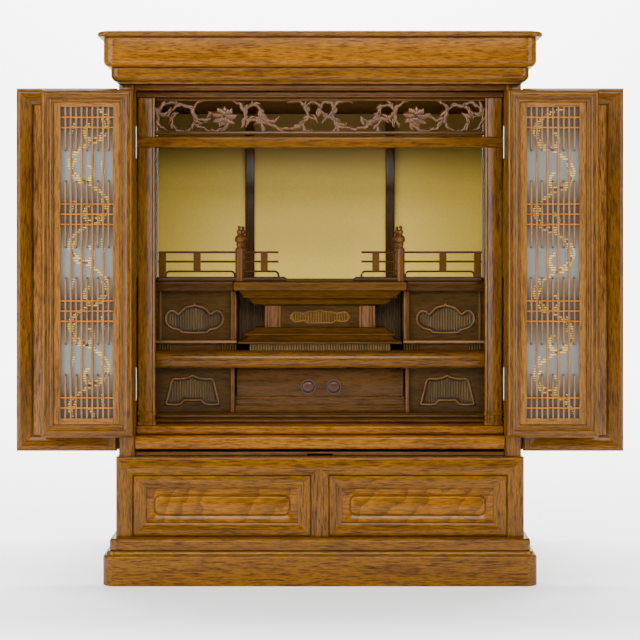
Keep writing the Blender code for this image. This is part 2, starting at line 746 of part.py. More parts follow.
transom = block((-field_half, at_depth(TRANSOM_SET_BACK), transom_low),
                (field_half, at_depth(TRANSOM_SET_BACK + TRANSOM_THICK), field_low))
join(transom, block((-field_half, at_depth(TRANSOM_SET_BACK), field_high),
                    (field_half, at_depth(TRANSOM_SET_BACK + TRANSOM_THICK), transom_high)))
for side in (-1, 1):
    end_low, end_high = sorted((side * field_half, side * (field_half - CARVING_THICK)))
    join(transom, block((end_low, carving_y - CARVING_THICK, field_low - 0.001),
                        (end_high, carving_y + CARVING_THICK, field_high + 0.001)))
    for entry in SCROLLS:
        join(transom, scroll(side, entry))
    join(transom, peony(side))
merge_flat(transom)
claim(transom, "carved_transom", CARVED)


# Folding doors
def mitred_frame(side, reach, thick_from, section, size, rails):
    """A frame whose section, as (inset, depth) points, meets in mitres.

    The leaf runs from EDGE_GAP out to its width along X, from the pivot at the origin.
    """
    width, low, high = size
    stile, top_rail, bottom_rail, edge = rails
    rings = []
    for inset, depth in section:
        inner = inset > edge
        top = inset + top_rail - stile if inner else inset
        bottom = inset + bottom_rail - stile if inner else inset
        near = side * reach * (EDGE_GAP + inset)
        far = side * reach * (EDGE_GAP + width - inset)
        y = thick_from(depth)
        rings.append([(near, y, low + bottom), (far, y, low + bottom),
                      (far, y, high - top), (near, y, high - top)])
    return loft(rings, closed=True)


def knuckle(side, reach, toward, middle, bite):
    """A hinge knuckle round the pivot axis, with the plate that ties it into the leaf."""
    inward = side * reach
    outline = []
    for i in range(3):
        turn = math.radians(-45 - 90 * i)
        across, along = math.cos(turn), math.sin(turn)
        outline.append((inward * HINGE_RADIUS * (across + along) / math.sqrt(2),
                        toward * HINGE_RADIUS * (along - across) / math.sqrt(2)))
    outline.append((inward * (EDGE_GAP + HINGE_BITE), toward * bite))
    ends = (middle - HINGE_LENGTH / 2, middle + HINGE_LENGTH / 2)
    return loft([[(x, y, z) for x, y in outline] for z in ends])


def hang(obj, side, reach, toward, low, high, empty, face_gap):
    """Join both knuckles to a leaf's frame; they share its pivot."""
    for middle in (low + HINGE_FROM_END, high - HINGE_FROM_END):
        part = knuckle(side, reach, toward, middle, face_gap + HINGE_BITE)
        part.parent = empty
        join(obj, part)


def leaf_slab(side, reach, thick_from, size, inset, rails, near, far):
    """A flat panel inside a leaf, inset from its outline, between two depths."""
    width, low, high = size
    stile, top_rail, bottom_rail = rails
    x_low, x_high = sorted((side * reach * (EDGE_GAP + inset),
                            side * reach * (EDGE_GAP + width - inset)))
    y_low, y_high = sorted((thick_from(near), thick_from(far)))
    return block((x_low, y_low, low + inset + bottom_rail - stile),
                 (x_high, y_high, high - inset - top_rail + stile))


outer_pivot = HALF + HINGE_RADIUS + HINGE_CLEAR
outer_width = (outer_pivot - MEETING_GAP - 3 * EDGE_GAP) / 2
outer_size = (outer_width, BODY_Z + OUTER_BOTTOM_LIFT, BODY_TOP - OUTER_TOP_DROP)
groove_near = (LEAF_THICK - OUTER_PANEL) / 2 - GAP
groove_far = LEAF_THICK - groove_near
half_face = [(0.0, LEAF_ROUND), (LEAF_ROUND * 0.3, LEAF_ROUND * 0.3), (LEAF_ROUND, 0.0),
             (OUTER_FRAME * 0.30, 0.0), (OUTER_FRAME * 0.36, 0.0008),
             (OUTER_FRAME, groove_near), (OUTER_FRAME - GROOVE, groove_near)]
outer_section = half_face + [(inset, LEAF_THICK - depth) for inset, depth in reversed(half_face)]
outer_rails = (OUTER_FRAME, OUTER_FRAME, OUTER_BOTTOM_RAIL)


def outer_leaf(name, side, reach, empty, first):
    """A framed and panelled outer leaf behind its pivot plane."""
    def thick_from(depth):
        return first + depth
    frame = mitred_frame(side, reach, thick_from, outer_section, outer_size,
                         outer_rails + (OUTER_FRAME * 0.36,))
    hang(frame, side, reach, 1, outer_size[1], outer_size[2], empty, first)
    claim(frame, name + "_frame", OAK, empty)
    inset = OUTER_FRAME - GROOVE + GAP
    panel = leaf_slab(side, reach, thick_from, outer_size, inset, outer_rails,
                      groove_near + GAP, groove_far - GAP)
    claim(panel, name + "_panel", OAK, empty)


lattice_pivot = INSIDE - HINGE_RADIUS - HINGE_CLEAR
lattice_width = (lattice_pivot - MEETING_GAP - 3 * EDGE_GAP) / 2
lattice_size = (lattice_width, BODY_Z + LATTICE_BOTTOM_LIFT, BODY_TOP - LATTICE_TOP_DROP)
lattice_stile = LATTICE_MOULDING + LATTICE_FLAT_SIDE
lattice_rails = (lattice_stile, LATTICE_MOULDING + LATTICE_FLAT_TOP,
                 LATTICE_MOULDING + LATTICE_FLAT_BOTTOM)
slat_near = LATTICE_FLAT_SINK + 0.0004 + GAP
gauze_near = slat_near + SLAT_THICK + GAP
gauze_far = gauze_near + GAUZE_THICK
lattice_section = [
    (0.0, LEAF_ROUND), (LEAF_ROUND * 0.3, LEAF_ROUND * 0.3), (LEAF_ROUND, 0.0),
    (LATTICE_MOULDING * 0.35, 0.0), (LATTICE_MOULDING * 0.68, 0.0018), (LATTICE_MOULDING * 0.80, 0.0012),
    (LATTICE_MOULDING, LATTICE_FLAT_SINK), (lattice_stile, LATTICE_FLAT_SINK),
    (lattice_stile, slat_near - GAP), (lattice_stile - REBATE, slat_near - GAP),
    (lattice_stile - REBATE, gauze_far + GAP), (lattice_stile, gauze_far + GAP),
    (lattice_stile, LEAF_THICK), (LEAF_ROUND, LEAF_THICK), (0.0, LEAF_THICK - LEAF_ROUND)]


def lattice_grid(width, height, y_near, y_far):
    """Slats and cross bars as one open sheet of cells, made solid.

    Four slats stand full height. Cross bars lie in groups of two, three, three and two.
    """
    gap = (height - 2 * REBATE_IN - 8 * CROSS_PITCH) / 3
    levels = []
    z = REBATE_IN
    for group, count in enumerate((2, 3, 3, 2)):
        z += CROSS_PITCH if group == 0 else gap
        for i in range(count):
            levels.append(z)
            z += CROSS_PITCH if i < count - 1 else 0.0
    slats = [width / 2 + (i - 1.5) * SLAT_PITCH for i in range(4)]

    def stations(middles, end):
        marks = [(0.0, False)]
        for middle in middles:
            marks += [(middle - SLAT / 2, True), (middle + SLAT / 2, False)]
        return marks + [(end, False)]

    columns = stations(slats, width)
    rows = stations(levels, height)
    shape = bmesh.new()
    corners = {}

    def corner(i, j):
        if (i, j) not in corners:
            corners[i, j] = shape.verts.new((columns[i][0] - width / 2, y_near, rows[j][0]))
        return corners[i, j]

    for i in range(len(columns) - 1):
        for j in range(len(rows) - 1):
            if columns[i][1] or rows[j][1]:
                shape.faces.new((corner(i, j), corner(i + 1, j), corner(i + 1, j + 1), corner(i, j + 1)))
    mesh = bpy.data.meshes.new("lattice")
    shape.to_mesh(mesh)
    shape.free()
    obj = bpy.data.objects.new("lattice", mesh)
    bpy.context.scene.collection.objects.link(obj)
    solid = obj.modifiers.new("Thickness", "SOLIDIFY")
    solid.thickness = abs(y_far - y_near)
    solid.offset = -1.0 if y_far > y_near else 1.0
    return obj


def lattice_leaf(name, side, reach, empty, first, facing):
    """A lattice leaf in front of its pivot plane; facing says which way its moulded face looks."""
    def thick_from(depth):
        return first - depth if facing > 0 else first - LEAF_THICK + depth
    frame = mitred_frame(side, reach, thick_from, lattice_section, lattice_size,
                         lattice_rails + (LATTICE_MOULDING,))
    hang(frame, side, reach, -1, lattice_size[1], lattice_size[2], empty, -first)
    claim(frame, name + "_frame", OAK, empty)
    inset = lattice_stile - REBATE_IN
    width, low, high = lattice_size
    z_low = low + inset + lattice_rails[2] - lattice_stile
    z_high = high - inset - lattice_rails[1] + lattice_stile
    grid = lattice_grid(width - 2 * inset, z_high - z_low,
                        thick_from(slat_near), thick_from(slat_near + SLAT_THICK))
    grid.location = (side * reach * (EDGE_GAP + width / 2), 0.0, z_low)
    claim(grid, name + "_lattice", OAK, empty)
    cloth = leaf_slab(side, reach, thick_from, lattice_size, inset, lattice_rails, gauze_near, gauze_far)
    claim(cloth, name + "_gauze", GAUZE, empty)


for side, label in ((-1, "left"), (1, "right")):
    spacing = outer_width + 2 * EDGE_GAP
    first = pivot("pivot_outer_" + label + "_1", side * outer_pivot, -OUTER_PIVOT_OUT)
    fold_depth = -OUTER_PIVOT_OUT + 2 * LEAF_GAP + LEAF_THICK
    second = pivot("pivot_outer_" + label + "_2", side * (outer_pivot + spacing), fold_depth, first)
    outer_leaf("outer_leaf_" + label + "_1", side, 1, first, LEAF_GAP)
    outer_leaf("outer_leaf_" + label + "_2", side, -1, second, LEAF_GAP)

    spacing = lattice_width + 2 * EDGE_GAP
    first = pivot("pivot_lattice_" + label + "_1", side * lattice_pivot, -LATTICE_PIVOT_OUT)
    fold_depth = -LATTICE_PIVOT_OUT - LATTICE_FACE_GAP - LEAF_THICK - LEAF_GAP
    second = pivot("pivot_lattice_" + label + "_2", side * (lattice_pivot + spacing), fold_depth, first)
    lattice_leaf("lattice_leaf_" + label + "_1", side, 1, first, -LATTICE_FACE_GAP, 1)
    lattice_leaf("lattice_leaf_" + label + "_2", side, -1, second, -LEAF_GAP, -1)


# Inside, the floor platform with two beads on its nose
inside_depth = INSIDE_BACK - FRONT
bead = PLATFORM_HEIGHT * 0.42
nose = PLATFORM_SET_BACK
platform_section = [(nose, PLATFORM_Z)]
for i in range(2):
    base = PLATFORM_Z + i * (bead + PLATFORM_HEIGHT * 0.08) + PLATFORM_HEIGHT * 0.08
    out = nose - PLATFORM_BEAD_OUT + i * PLATFORM_BEAD_STEP
    recess = out + 1.5 * PLATFORM_BEAD_OUT
    platform_section += [(recess, base), (out, base + bead * 0.3), (out, base + bead * 0.7),
                         (recess, base + bead)]
platform_section += [(nose + 3 * PLATFORM_BEAD_OUT, PLATFORM_TOP), (inside_depth, PLATFORM_TOP),
                     (inside_depth, PLATFORM_Z)]
claim(board_along_x(platform_section, -REACH, REACH), "floor_platform", DARK_OAK)


# Windows sunk in the boards: half outlines as (across, up) shares, mirrored about the middle
CLOUD = [(0.0, 1.0), (0.055, 0.915), (0.16, 0.90), (0.30, 0.865), (0.42, 0.78), (0.53, 0.66),
         (0.63, 0.735), (0.76, 0.76), (0.90, 0.69), (0.985, 0.52), (0.97, 0.33), (0.84, 0.17),
         (0.66, 0.085), (0.52, 0.055), (0.44, -0.02), (0.38, -0.03)]
BELL = [(0.0, 1.0), (0.10, 0.92), (0.30, 0.895), (0.44, 0.80), (0.56, 0.84), (0.68, 0.80),
        (0.78, 0.66), (0.88, 0.34), (1.0, 0.0), (0.50, 0.0), (0.40, 0.09), (0.28, 0.145)]
CARTOUCHE = [(0.0, 1.0), (0.09, 0.86), (0.24, 0.82), (0.36, 0.90), (0.50, 0.80), (0.66, 0.84),
             (0.78, 0.70), (0.92, 0.62), (1.0, 0.40), (0.92, 0.18), (0.78, 0.10), (0.62, 0.14),
             (0.50, 0.0)]


def window_points(half, x_middle, width, z_low, height):
    """A whole window outline from its half."""
    right = [(x_middle + share * width / 2, z_low + up * height) for share, up in half]
    left = [(2 * x_middle - x, z) for x, z in reversed(right) if x > x_middle]
    return right + left


def sunk_window(half, x_middle, width, z_low, height, y_face, sink):
    """The cutter for a window: a plate of its outline, as deep as the window is sunk."""
    points = window_points(half, x_middle, width, z_low, height)
    return outline_plate(points, 2 * sink, (0.0, y_face, 0.0))


# Lower storey: a board with a bell window at each side, a drawer between them
lower_y = at_depth(LOWER_SET_BACK)
for side, label in ((-1, "left"), (1, "right")):
    low, high = sorted((side * LOWER_INNER, side * REACH))
    front = block((low, lower_y, LOWER_Z), (high, lower_y + LOWER_BOARD, LOWER_Z + LOWER_HEIGHT))
    low, high = sorted((side * LOWER_INNER, side * (LOWER_INNER + LOWER_POST)))
    post = block((low, lower_y - LOWER_POST_OUT, LOWER_Z),
                 (high, lower_y + LOWER_BOARD / 2, LOWER_Z + LOWER_HEIGHT))
    join(front, post)
    cut(front, sunk_window(BELL, side * BELL_AT, BELL_WIDTH, LOWER_Z + BELL_UP, BELL_HEIGHT,
                           lower_y, WINDOW_SINK))
    merge_flat(front)
    claim(front, "lower_front_" + label, DARK_OAK)

bed_half = LOWER_INNER - GAP
bed_top = LOWER_Z + DRAWER_BED
bed_front = LOWER_SET_BACK + LOWER_SKIRT_OUT
bed_field = bed_front + LOWER_SKIRT_OUT
bed_under = bed_top - BED_BOARD
bed_section = [(LOWER_SET_BACK, LOWER_Z), (LOWER_SET_BACK, LOWER_Z + LOWER_SKIRT),
               (bed_field, LOWER_Z + LOWER_SKIRT), (bed_field, bed_under - BED_BEAD),
               (bed_front, bed_under - BED_BEAD), (bed_front, bed_under), (bed_field, bed_under),
               (bed_field, bed_top), (bed_front + INNER_DRAWER_DEPTH, bed_top),
               (bed_front + INNER_DRAWER_DEPTH, bed_under), (bed_front + LOWER_BOARD, bed_under),
               (bed_front + LOWER_BOARD, LOWER_Z)]
claim(board_along_x(bed_section, -bed_half, bed_half), "drawer_bed", DARK_OAK)

inner_half = LOWER_INNER - INNER_DRAWER_SIDE
inner_low = bed_top + GAP
inner_high = LOWER_Z + LOWER_HEIGHT - INNER_DRAWER_TOP
inner_front = at_depth(LOWER_SET_BACK + 2 * LOWER_SKIRT_OUT)
inner_drawer = block((-inner_half, inner_front, inner_low),
                     (inner_half, inner_front + INNER_DRAWER_DEPTH, inner_high))
hollow = block((-inner_half + DRAWER_WALL / 2, inner_front + DRAWER_WALL, inner_low + DRAWER_FLOOR / 2),
               (inner_half - DRAWER_WALL / 2, inner_front + INNER_DRAWER_DEPTH - DRAWER_WALL / 2,
                inner_high + CUT_PAST))
cut(inner_drawer, hollow)
for side in (-1, 1):
    bpy.ops.mesh.primitive_cone_add(vertices=10, radius1=KNOB_RADIUS, radius2=KNOB_RADIUS * 0.8,
                                    depth=2 * KNOB_OUT, end_fill_type="NGON")
    knob = bpy.context.object
    knob.rotation_euler = (math.pi / 2, 0.0, 0.0)
    knob.location = (side * KNOB_AT, inner_front,
                     (inner_low + inner_high) / 2 - KNOB_DROP)
    join(inner_drawer, knob)
claim(inner_drawer, "inner_drawer", DARK_OAK)

# Shelf with a rounded nose
shelf_front = PLATFORM_SET_BACK
curve_in = SHELF_ROUND * 0.3
shelf_section = [(inside_depth, SHELF_Z), (shelf_front + SHELF_ROUND, SHELF_Z),
                 (shelf_front + curve_in, SHELF_Z + curve_in), (shelf_front, SHELF_Z + SHELF_ROUND),
                 (shelf_front, SHELF_TOP - SHELF_ROUND), (shelf_front + curve_in, SHELF_TOP - curve_in),
                 (shelf_front + SHELF_ROUND, SHELF_TOP), (inside_depth, SHELF_TOP)]
claim(board_along_x(shelf_section, -REACH, REACH), "middle_shelf", OAK)

# Wings: a board with a cloud window, an inner side board and a top board each
wing_y = at_depth(WING_SET_BACK)


def across(side, one, two):
    """The low and high X of a stretch given by its distances from the middle."""
    return sorted((side * one, side * two))


for side, label in ((-1, "left"), (1, "right")):
    top = WING_Z + WING_HEIGHT
    low, high = across(side, WING_INNER, REACH)
    front = block((low, wing_y, WING_Z), (high, wing_y + WING_BOARD, top))
    ledge_z = WING_Z + WING_STRIP
    ledge = block((low, wing_y - WING_POST_OUT - WING_LEDGE_OUT, ledge_z),
                  (high, wing_y + WING_BOARD / 2, ledge_z + WING_LEDGE))
    low, high = across(side, WING_INNER, WING_INNER + WING_POST)
    post = block((low, wing_y - WING_POST_OUT, ledge_z + WING_LEDGE / 2),
                 (high, wing_y + WING_BOARD / 2, top))
    low, high = across(side, WING_INNER, WING_INNER + WING_SIDE_BOARD)
    side_wall = block((low, wing_y + WING_BOARD / 2, WING_Z), (high, INSIDE_BACK, top))
    join(front, post, ledge, side_wall)
    cut(front, sunk_window(CLOUD, side * CLOUD_AT, CLOUD_WIDTH, WING_Z + CLOUD_UP, CLOUD_HEIGHT,
                           wing_y, WINDOW_SINK))
    merge_flat(front)
    claim(front, "wing_front_" + label, DARK_OAK)
    low, high = across(side, TABLE_HALF + TABLE_TOP_GAP, REACH)
    wing_top = block((low, at_depth(WING_TOP_SET_BACK), WING_TOP_Z), (high, INSIDE_BACK, DECK))
    claim(wing_top, "wing_top_" + label, DARK_OAK)

# Altar table: the stepped plan repeated at each change of its waisted side
# Each step: height under the deck, how far in from the top's ends and how far back from its front
TABLE_STEPS = [
    (0.0000, 0.0030, 0.0030), (0.0016, 0.0, 0.0), (0.0090, 0.0, 0.0), (0.0106, 0.0030, 0.0030),
    (0.0106, 0.0048, 0.0045), (0.0122, 0.0048, 0.0045), (0.0122, 0.0110, 0.0100),
    (0.0183, 0.0110, 0.0100), (0.0183, 0.0130, 0.0120), (0.0206, 0.0130, 0.0120),
    (0.0206, 0.0205, 0.0180), (0.0268, 0.0205, 0.0180),
    (TABLE_WAIST_TOP, TABLE_WAIST_IN, TABLE_WAIST_BACK),
    (TABLE_WAIST_FOOT, TABLE_WAIST_IN, TABLE_WAIST_BACK),
    (0.0531, 0.0230, 0.0190), (0.0585, 0.0170, 0.0130), (0.0600, 0.0130, 0.0100),
    (0.0622, 0.0130, 0.0100), (0.0622, 0.0160, 0.0120), (0.0678, 0.0090, 0.0050),
    (0.0681, 0.0051, 0.0010), (0.0702, 0.0051, 0.0010), (0.0702, 0.0175, 0.0100),
    (DECK - WING_Z, 0.0175, 0.0100),
]
table_back = at_depth(TABLE_BACK)
rings = []
for drop, inset, set_back in TABLE_STEPS:
    half_width = TABLE_HALF - inset
    near = at_depth(TABLE_SET_BACK + set_back)
    far = table_back - inset
    z = DECK - drop
    rings.append([(-half_width, near, z), (half_width, near, z), (half_width, far, z),
                  (-half_width, far, z)])
table = loft(rings)
core_half = WING_INNER - TABLE_CORE_CLEAR
core_top = DECK - TABLE_CORE_DROP
core_front = at_depth(TABLE_CORE_SET_BACK)
core = block((-core_half, core_front, WING_Z), (core_half, table_back + CUT_PAST / 10, core_top))
join(table, core)
waist_front = at_depth(TABLE_SET_BACK + TABLE_WAIST_BACK)
waist_low = DECK - TABLE_WAIST_FOOT
waist_high = DECK - TABLE_WAIST_TOP
cut(table, block((-TABLE_PANEL_HALF, waist_front - CUT_PAST, waist_low + TABLE_PANEL_MARGIN),
                 (TABLE_PANEL_HALF, waist_front + WING_PANEL_SINK, waist_high - TABLE_PANEL_MARGIN)))
cut(table, sunk_window(CARTOUCHE, 0.0, TABLE_WINDOW_WIDTH, waist_low + TABLE_WINDOW_UP,
                       TABLE_WINDOW_HEIGHT, waist_front + WING_PANEL_SINK, TABLE_WINDOW_SINK))
core_inside = core_half - TABLE_WALL
cut(table, block((-core_inside, core_front + TABLE_WALL, WING_Z - CUT_PAST),
                 (core_inside, table_back + CUT_PAST, core_top - TABLE_WALL)))
claim(table, "altar_table", DARK_OAK)


# Railings: ledges, rails, posts and turned newels, on the wings and the table
def newel(x, y):
    """A turned newel with its finial."""
    shape = [(0.30, 1.0), (0.66, 0.90), (0.46, 0.78), (1.09, 0.42), (0.70, 0.20), (1.0, 0.0)]
    profile = [(NEWEL_RADIUS * width, NEWEL_HEIGHT + FINIAL_HEIGHT * up) for width, up in shape]
    return turned(profile + [(NEWEL_RADIUS, 0.0)], 6, (x, y, DECK + GAP))


rail_end = STILE_INNER - GAP
for side, label in ((-1, "left"), (1, "right")):
    y = at_depth(RAILING_SET_BACK)
    y_rear = y + NEWEL_REAR
    half = RAIL_SIZE / 2
    foot = DECK + GAP
    ledge_top = foot + LEDGE_HEIGHT
    low, high = across(side, RETURN_LEDGE_END, rail_end)
    railing = block((low, y - LEDGE_DEPTH / 2, foot), (high, y + LEDGE_DEPTH / 2, ledge_top))
    x = side * NEWEL_AT
    parts = [block((x - LEDGE_DEPTH / 2, y, foot), (x + LEDGE_DEPTH / 2, y_rear, ledge_top))]
    parts += [newel(x, y), newel(x, y_rear)]
    low, high = across(side, RETURN_END, rail_end)
    for level in RAIL_LEVELS:
        z = foot + level
        parts.append(block((low, y - half, z - half), (high, y + half, z + half)))
        parts.append(block((x - half, y, z - half), (x + half, y_rear, z + half)))
    for middle in (rail_end - RAILING_POST / 2 - RAILING_POST_IN,) + RAILING_POSTS_AT:
        low, high = across(side, middle - RAILING_POST / 2, middle + RAILING_POST / 2)
        parts.append(block((low, y - RAILING_POST_DEPTH / 2, ledge_top - half),
                           (high, y + RAILING_POST_DEPTH / 2, foot + RAIL_LEVELS[0])))
    low, high = across(side, RETURN_END, RETURN_END + RAIL_SIZE)
    parts.append(block((low, y - half, ledge_top - half), (high, y + half, foot + RAIL_LEVELS[2])))
    join(railing, *parts)
    merge_flat(railing)
    claim(railing, "railing_" + label, DARK_OAK)
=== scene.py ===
"""A household altar cabinet in lacquered oak, its outer doors and lattice doors folded open."""
import json
import math
import random

import bmesh
import bpy
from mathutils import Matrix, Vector


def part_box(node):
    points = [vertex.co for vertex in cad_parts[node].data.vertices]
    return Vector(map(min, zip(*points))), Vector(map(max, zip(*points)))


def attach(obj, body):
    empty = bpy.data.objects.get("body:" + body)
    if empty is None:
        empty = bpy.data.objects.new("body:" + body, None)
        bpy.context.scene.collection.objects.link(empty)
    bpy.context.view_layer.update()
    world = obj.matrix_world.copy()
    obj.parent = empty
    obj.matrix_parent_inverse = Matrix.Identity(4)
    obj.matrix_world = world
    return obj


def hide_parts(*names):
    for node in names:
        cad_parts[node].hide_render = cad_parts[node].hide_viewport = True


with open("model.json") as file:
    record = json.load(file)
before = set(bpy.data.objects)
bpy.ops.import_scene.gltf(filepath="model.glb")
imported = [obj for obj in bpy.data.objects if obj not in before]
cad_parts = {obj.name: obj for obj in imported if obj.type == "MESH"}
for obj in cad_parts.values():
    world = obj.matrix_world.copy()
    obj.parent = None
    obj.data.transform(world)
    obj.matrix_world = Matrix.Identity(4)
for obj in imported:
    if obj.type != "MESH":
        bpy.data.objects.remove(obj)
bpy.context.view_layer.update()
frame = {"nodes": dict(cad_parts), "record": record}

# The camera stands level in front of the cabinet, two metres from the pillars, and looks
# straight at it. The frame is shifted so that the horizon lies above the picture's middle.
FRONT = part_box("pillar_left")[0].y
CAMERA_AWAY = 2.0
CAMERA_UP = 0.3777
view = bpy.data.cameras.new("camera")
view.sensor_width = 36.0
view.lens = 102.8
view.shift_y = -0.1297
camera = bpy.data.objects.new("camera", view)
camera.location = (0.0, FRONT - CAMERA_AWAY, CAMERA_UP)
camera.rotation_euler = (math.pi / 2, 0.0, 0.0)
bpy.context.scene.collection.objects.link(camera)
bpy.context.scene.camera = camera


# A pale floor that curves up into a wall far behind, lit by large soft lamps: one over the
# camera, a tall one at each side, and three overhead for the cabinet, the floor and the wall.
def tone(red, green, blue):
    """A colour given in display values from 0 to 255."""
    shares = (red / 255, green / 255, blue / 255)
    return tuple(c / 12.92 if c <= 0.04045 else ((c + 0.055) / 1.055) ** 2.4 for c in shares) + (1.0,)


def finished(name, shape, materials=(), sharp=35):
    """Turn a bmesh into an object, smooth but for its sharp edges."""
    mesh = bpy.data.meshes.new(name)
    shape.to_mesh(mesh)
    shape.free()
    for material in materials:
        mesh.materials.append(material)
    mesh.shade_smooth()
    mesh.set_sharp_from_angle(angle=math.radians(sharp))
    piece = bpy.data.objects.new(name, mesh)
    bpy.context.scene.collection.objects.link(piece)
    return piece


def blank(name):
    """A new material, with its node tree and its shader."""
    material = bpy.data.materials.new(name)
    material.use_nodes = True
    return material, material.node_tree, material.node_tree.nodes["Principled BSDF"]


def feed(tree, node, inputs):
    """Link each input that is given a socket, and set each that is given a value."""
    for key, value in inputs.items():
        if isinstance(value, bpy.types.NodeSocket):
            tree.links.new(value, node.inputs[key])
        else:
            node.inputs[key].default_value = value


def plain(name, colour, roughness, metallic=0.0):
    """A material of one colour, for the studio and for small parts."""
    material, tree, shader = blank(name)
    feed(tree, shader, {"Base Color": colour, "Roughness": roughness, "Metallic": metallic})
    return material


FLOOR_NEAR = -3.2
FLOOR_FAR = 3.6
FLOOR_HALF = 4.0
FLOOR_GAP = 0.0002
WALL_BEND = 0.7
WALL_TOP = 4.0
sweep = [(FLOOR_NEAR, 0.0), (FLOOR_FAR, 0.0)]
for step in range(1, 9):
    turn = math.radians(90 * step / 8)
    sweep.append((FLOOR_FAR + WALL_BEND * math.sin(turn), WALL_BEND * (1 - math.cos(turn))))
sweep.append((FLOOR_FAR + WALL_BEND, WALL_TOP))
shape = bmesh.new()
edges = [[shape.verts.new((x, y, z - FLOOR_GAP)) for y, z in sweep] for x in (-FLOOR_HALF, FLOOR_HALF)]
for i in range(len(sweep) - 1):
    shape.faces.new((edges[0][i], edges[1][i], edges[1][i + 1], edges[0][i + 1]))
backdrop = finished("backdrop", shape, [plain("white_paper", tone(252, 252, 252), 0.9)])

world = bpy.data.worlds.new("studio")
world.use_nodes = True
world.node_tree.nodes["Background"].inputs["Color"].default_value = (1.0, 1.0, 1.0, 1.0)
world.node_tree.nodes["Background"].inputs["Strength"].default_value = 0.14
bpy.context.scene.world = world


def lamp(name, place, target, width, height, power):
    """A soft lamp aimed at a point."""
    light = bpy.data.lights.new(name, "AREA")
    light.shape = "RECTANGLE"
    light.size = width
    light.size_y = height
    light.energy = power
    holder = bpy.data.objects.new(name, light)
    holder.location = place
    holder.rotation_euler = (Vector(target) - Vector(place)).to_track_quat("-Z", "Y").to_euler()
    bpy.context.scene.collection.objects.link(holder)


lamp("lamp_front", (0.0, -2.5, 1.25), (0.0, 0.0, 0.3), 1.7, 0.8, 72)
lamp("lamp_left", (-1.6, -1.1, 0.55), (0.0, 0.0, 0.3), 1.2, 1.5, 62)
lamp("lamp_right", (1.7, -1.0, 0.55), (0.0, 0.0, 0.3), 1.0, 1.5, 40)
lamp("lamp_over", (0.0, -0.3, 2.3), (0.0, 0.1, 0.3), 2.2, 1.2, 30)
lamp("lamp_floor", (0.0, 0.6, 2.6), (0.0, 1.7, 0.9), 3.2, 0.6, 280)
lamp("lamp_wall", (0.0, 2.6, 3.0), (0.0, 4.3, 0.9), 4.0, 0.8, 520)


# The plinth is two mitred rings of solid oak: a tall base and a rounded step on it. They
# are moulded on a spindle along the front and both ends, stained and lacquered.
def add(tree, kind, inputs=None, **settings):
    """Add a node to a material, with its settings and what feeds its inputs."""
    node = tree.nodes.new("ShaderNode" + kind)
    for key, value in settings.items():
        setattr(node, key, value)
    feed(tree, node, inputs or {})
    return node


def ramp(tree, value, stops):
    """Colours along a value from 0 to 1."""
    node = add(tree, "ValToRGB", {"Fac": value})
    first, last = node.color_ramp.elements
    first.position, first.color = stops[0]
    last.position, last.color = stops[-1]
    for at, colour in stops[1:-1]:
        node.color_ramp.elements.new(at).color = colour
    return node.outputs["Color"]


def multiply(tree, one, two, share):
    """One colour darkened by another."""
    inputs = {"Factor": share, "A": one, "B": two}
    return add(tree, "Mix", inputs, data_type="RGBA", blend_type="MULTIPLY").outputs["Result"]


def oak(name, along, light, dark, streak=1.0, figured=False, shine=0.27):
    """Open-pored oak with its grain along one axis, stained, filled and lacquered."""
    material, tree, shader = blank(name)
    place = add(tree, "TexCoord").outputs["Object"]

    def grain(across, run, detail, warp=0.0):
        """Noise drawn out along the grain, given in cycles per metre each way."""
        scale = [run if axis == along else across for axis in "xyz"]
        drawn = add(tree, "Mapping", {"Vector": place, "Scale": scale}).outputs["Vector"]
        inputs = {"Vector": drawn, "Scale": 1.0, "Detail": detail, "Distortion": warp}
        return add(tree, "TexNoise", inputs).outputs["Fac"]

    middle = tuple((a + b) / 2 for a, b in zip(light, dark))
    if figured:
        leaning = add(tree, "Mapping", {"Vector": place, "Rotation": (0.0, math.radians(-38), 0.0),
                                        "Scale": (1.0, 1.0, 0.8)}).outputs["Vector"]
        bands = add(tree, "TexWave", {"Vector": leaning, "Scale": 12.0, "Distortion": 9.0, "Detail": 3.0,
                                      "Detail Scale": 1.6, "Detail Roughness": 0.6},
                    bands_direction="X", wave_profile="SAW").outputs["Fac"]
        colour = ramp(tree, bands, [(0.0, light), (0.3, light), (1.0, middle)])
    else:
        colour = ramp(tree, grain(90, 12, 3, 0.4), [(0.3, middle), (0.5, light), (0.72, light)])
    umber = (0.36, 0.28, 0.22, 1.0)
    white = (1.0, 1.0, 1.0, 1.0)
    fleck = (1.24, 1.2, 1.1, 1.0)
    streaks = ramp(tree, grain(640, 62, 2, 0.3), [(0.33, umber), (0.49, white), (0.66, fleck)])
    pores = grain(1300, 130, 1)
    colour = multiply(tree, colour, streaks, 0.85 * streak)
    colour = multiply(tree, colour, ramp(tree, pores, [(0.38, umber), (0.52, white)]), 0.55 * streak)
    relief = add(tree, "Bump", {"Height": pores, "Strength": 0.12, "Distance": 0.0003})
    feed(tree, shader, {"Base Color": colour, "Normal": relief.outputs["Normal"], "Roughness": 0.42,
                        "Specular IOR Level": 0.0, "Coat Weight": shine, "Coat Roughness": 0.18})
    return material


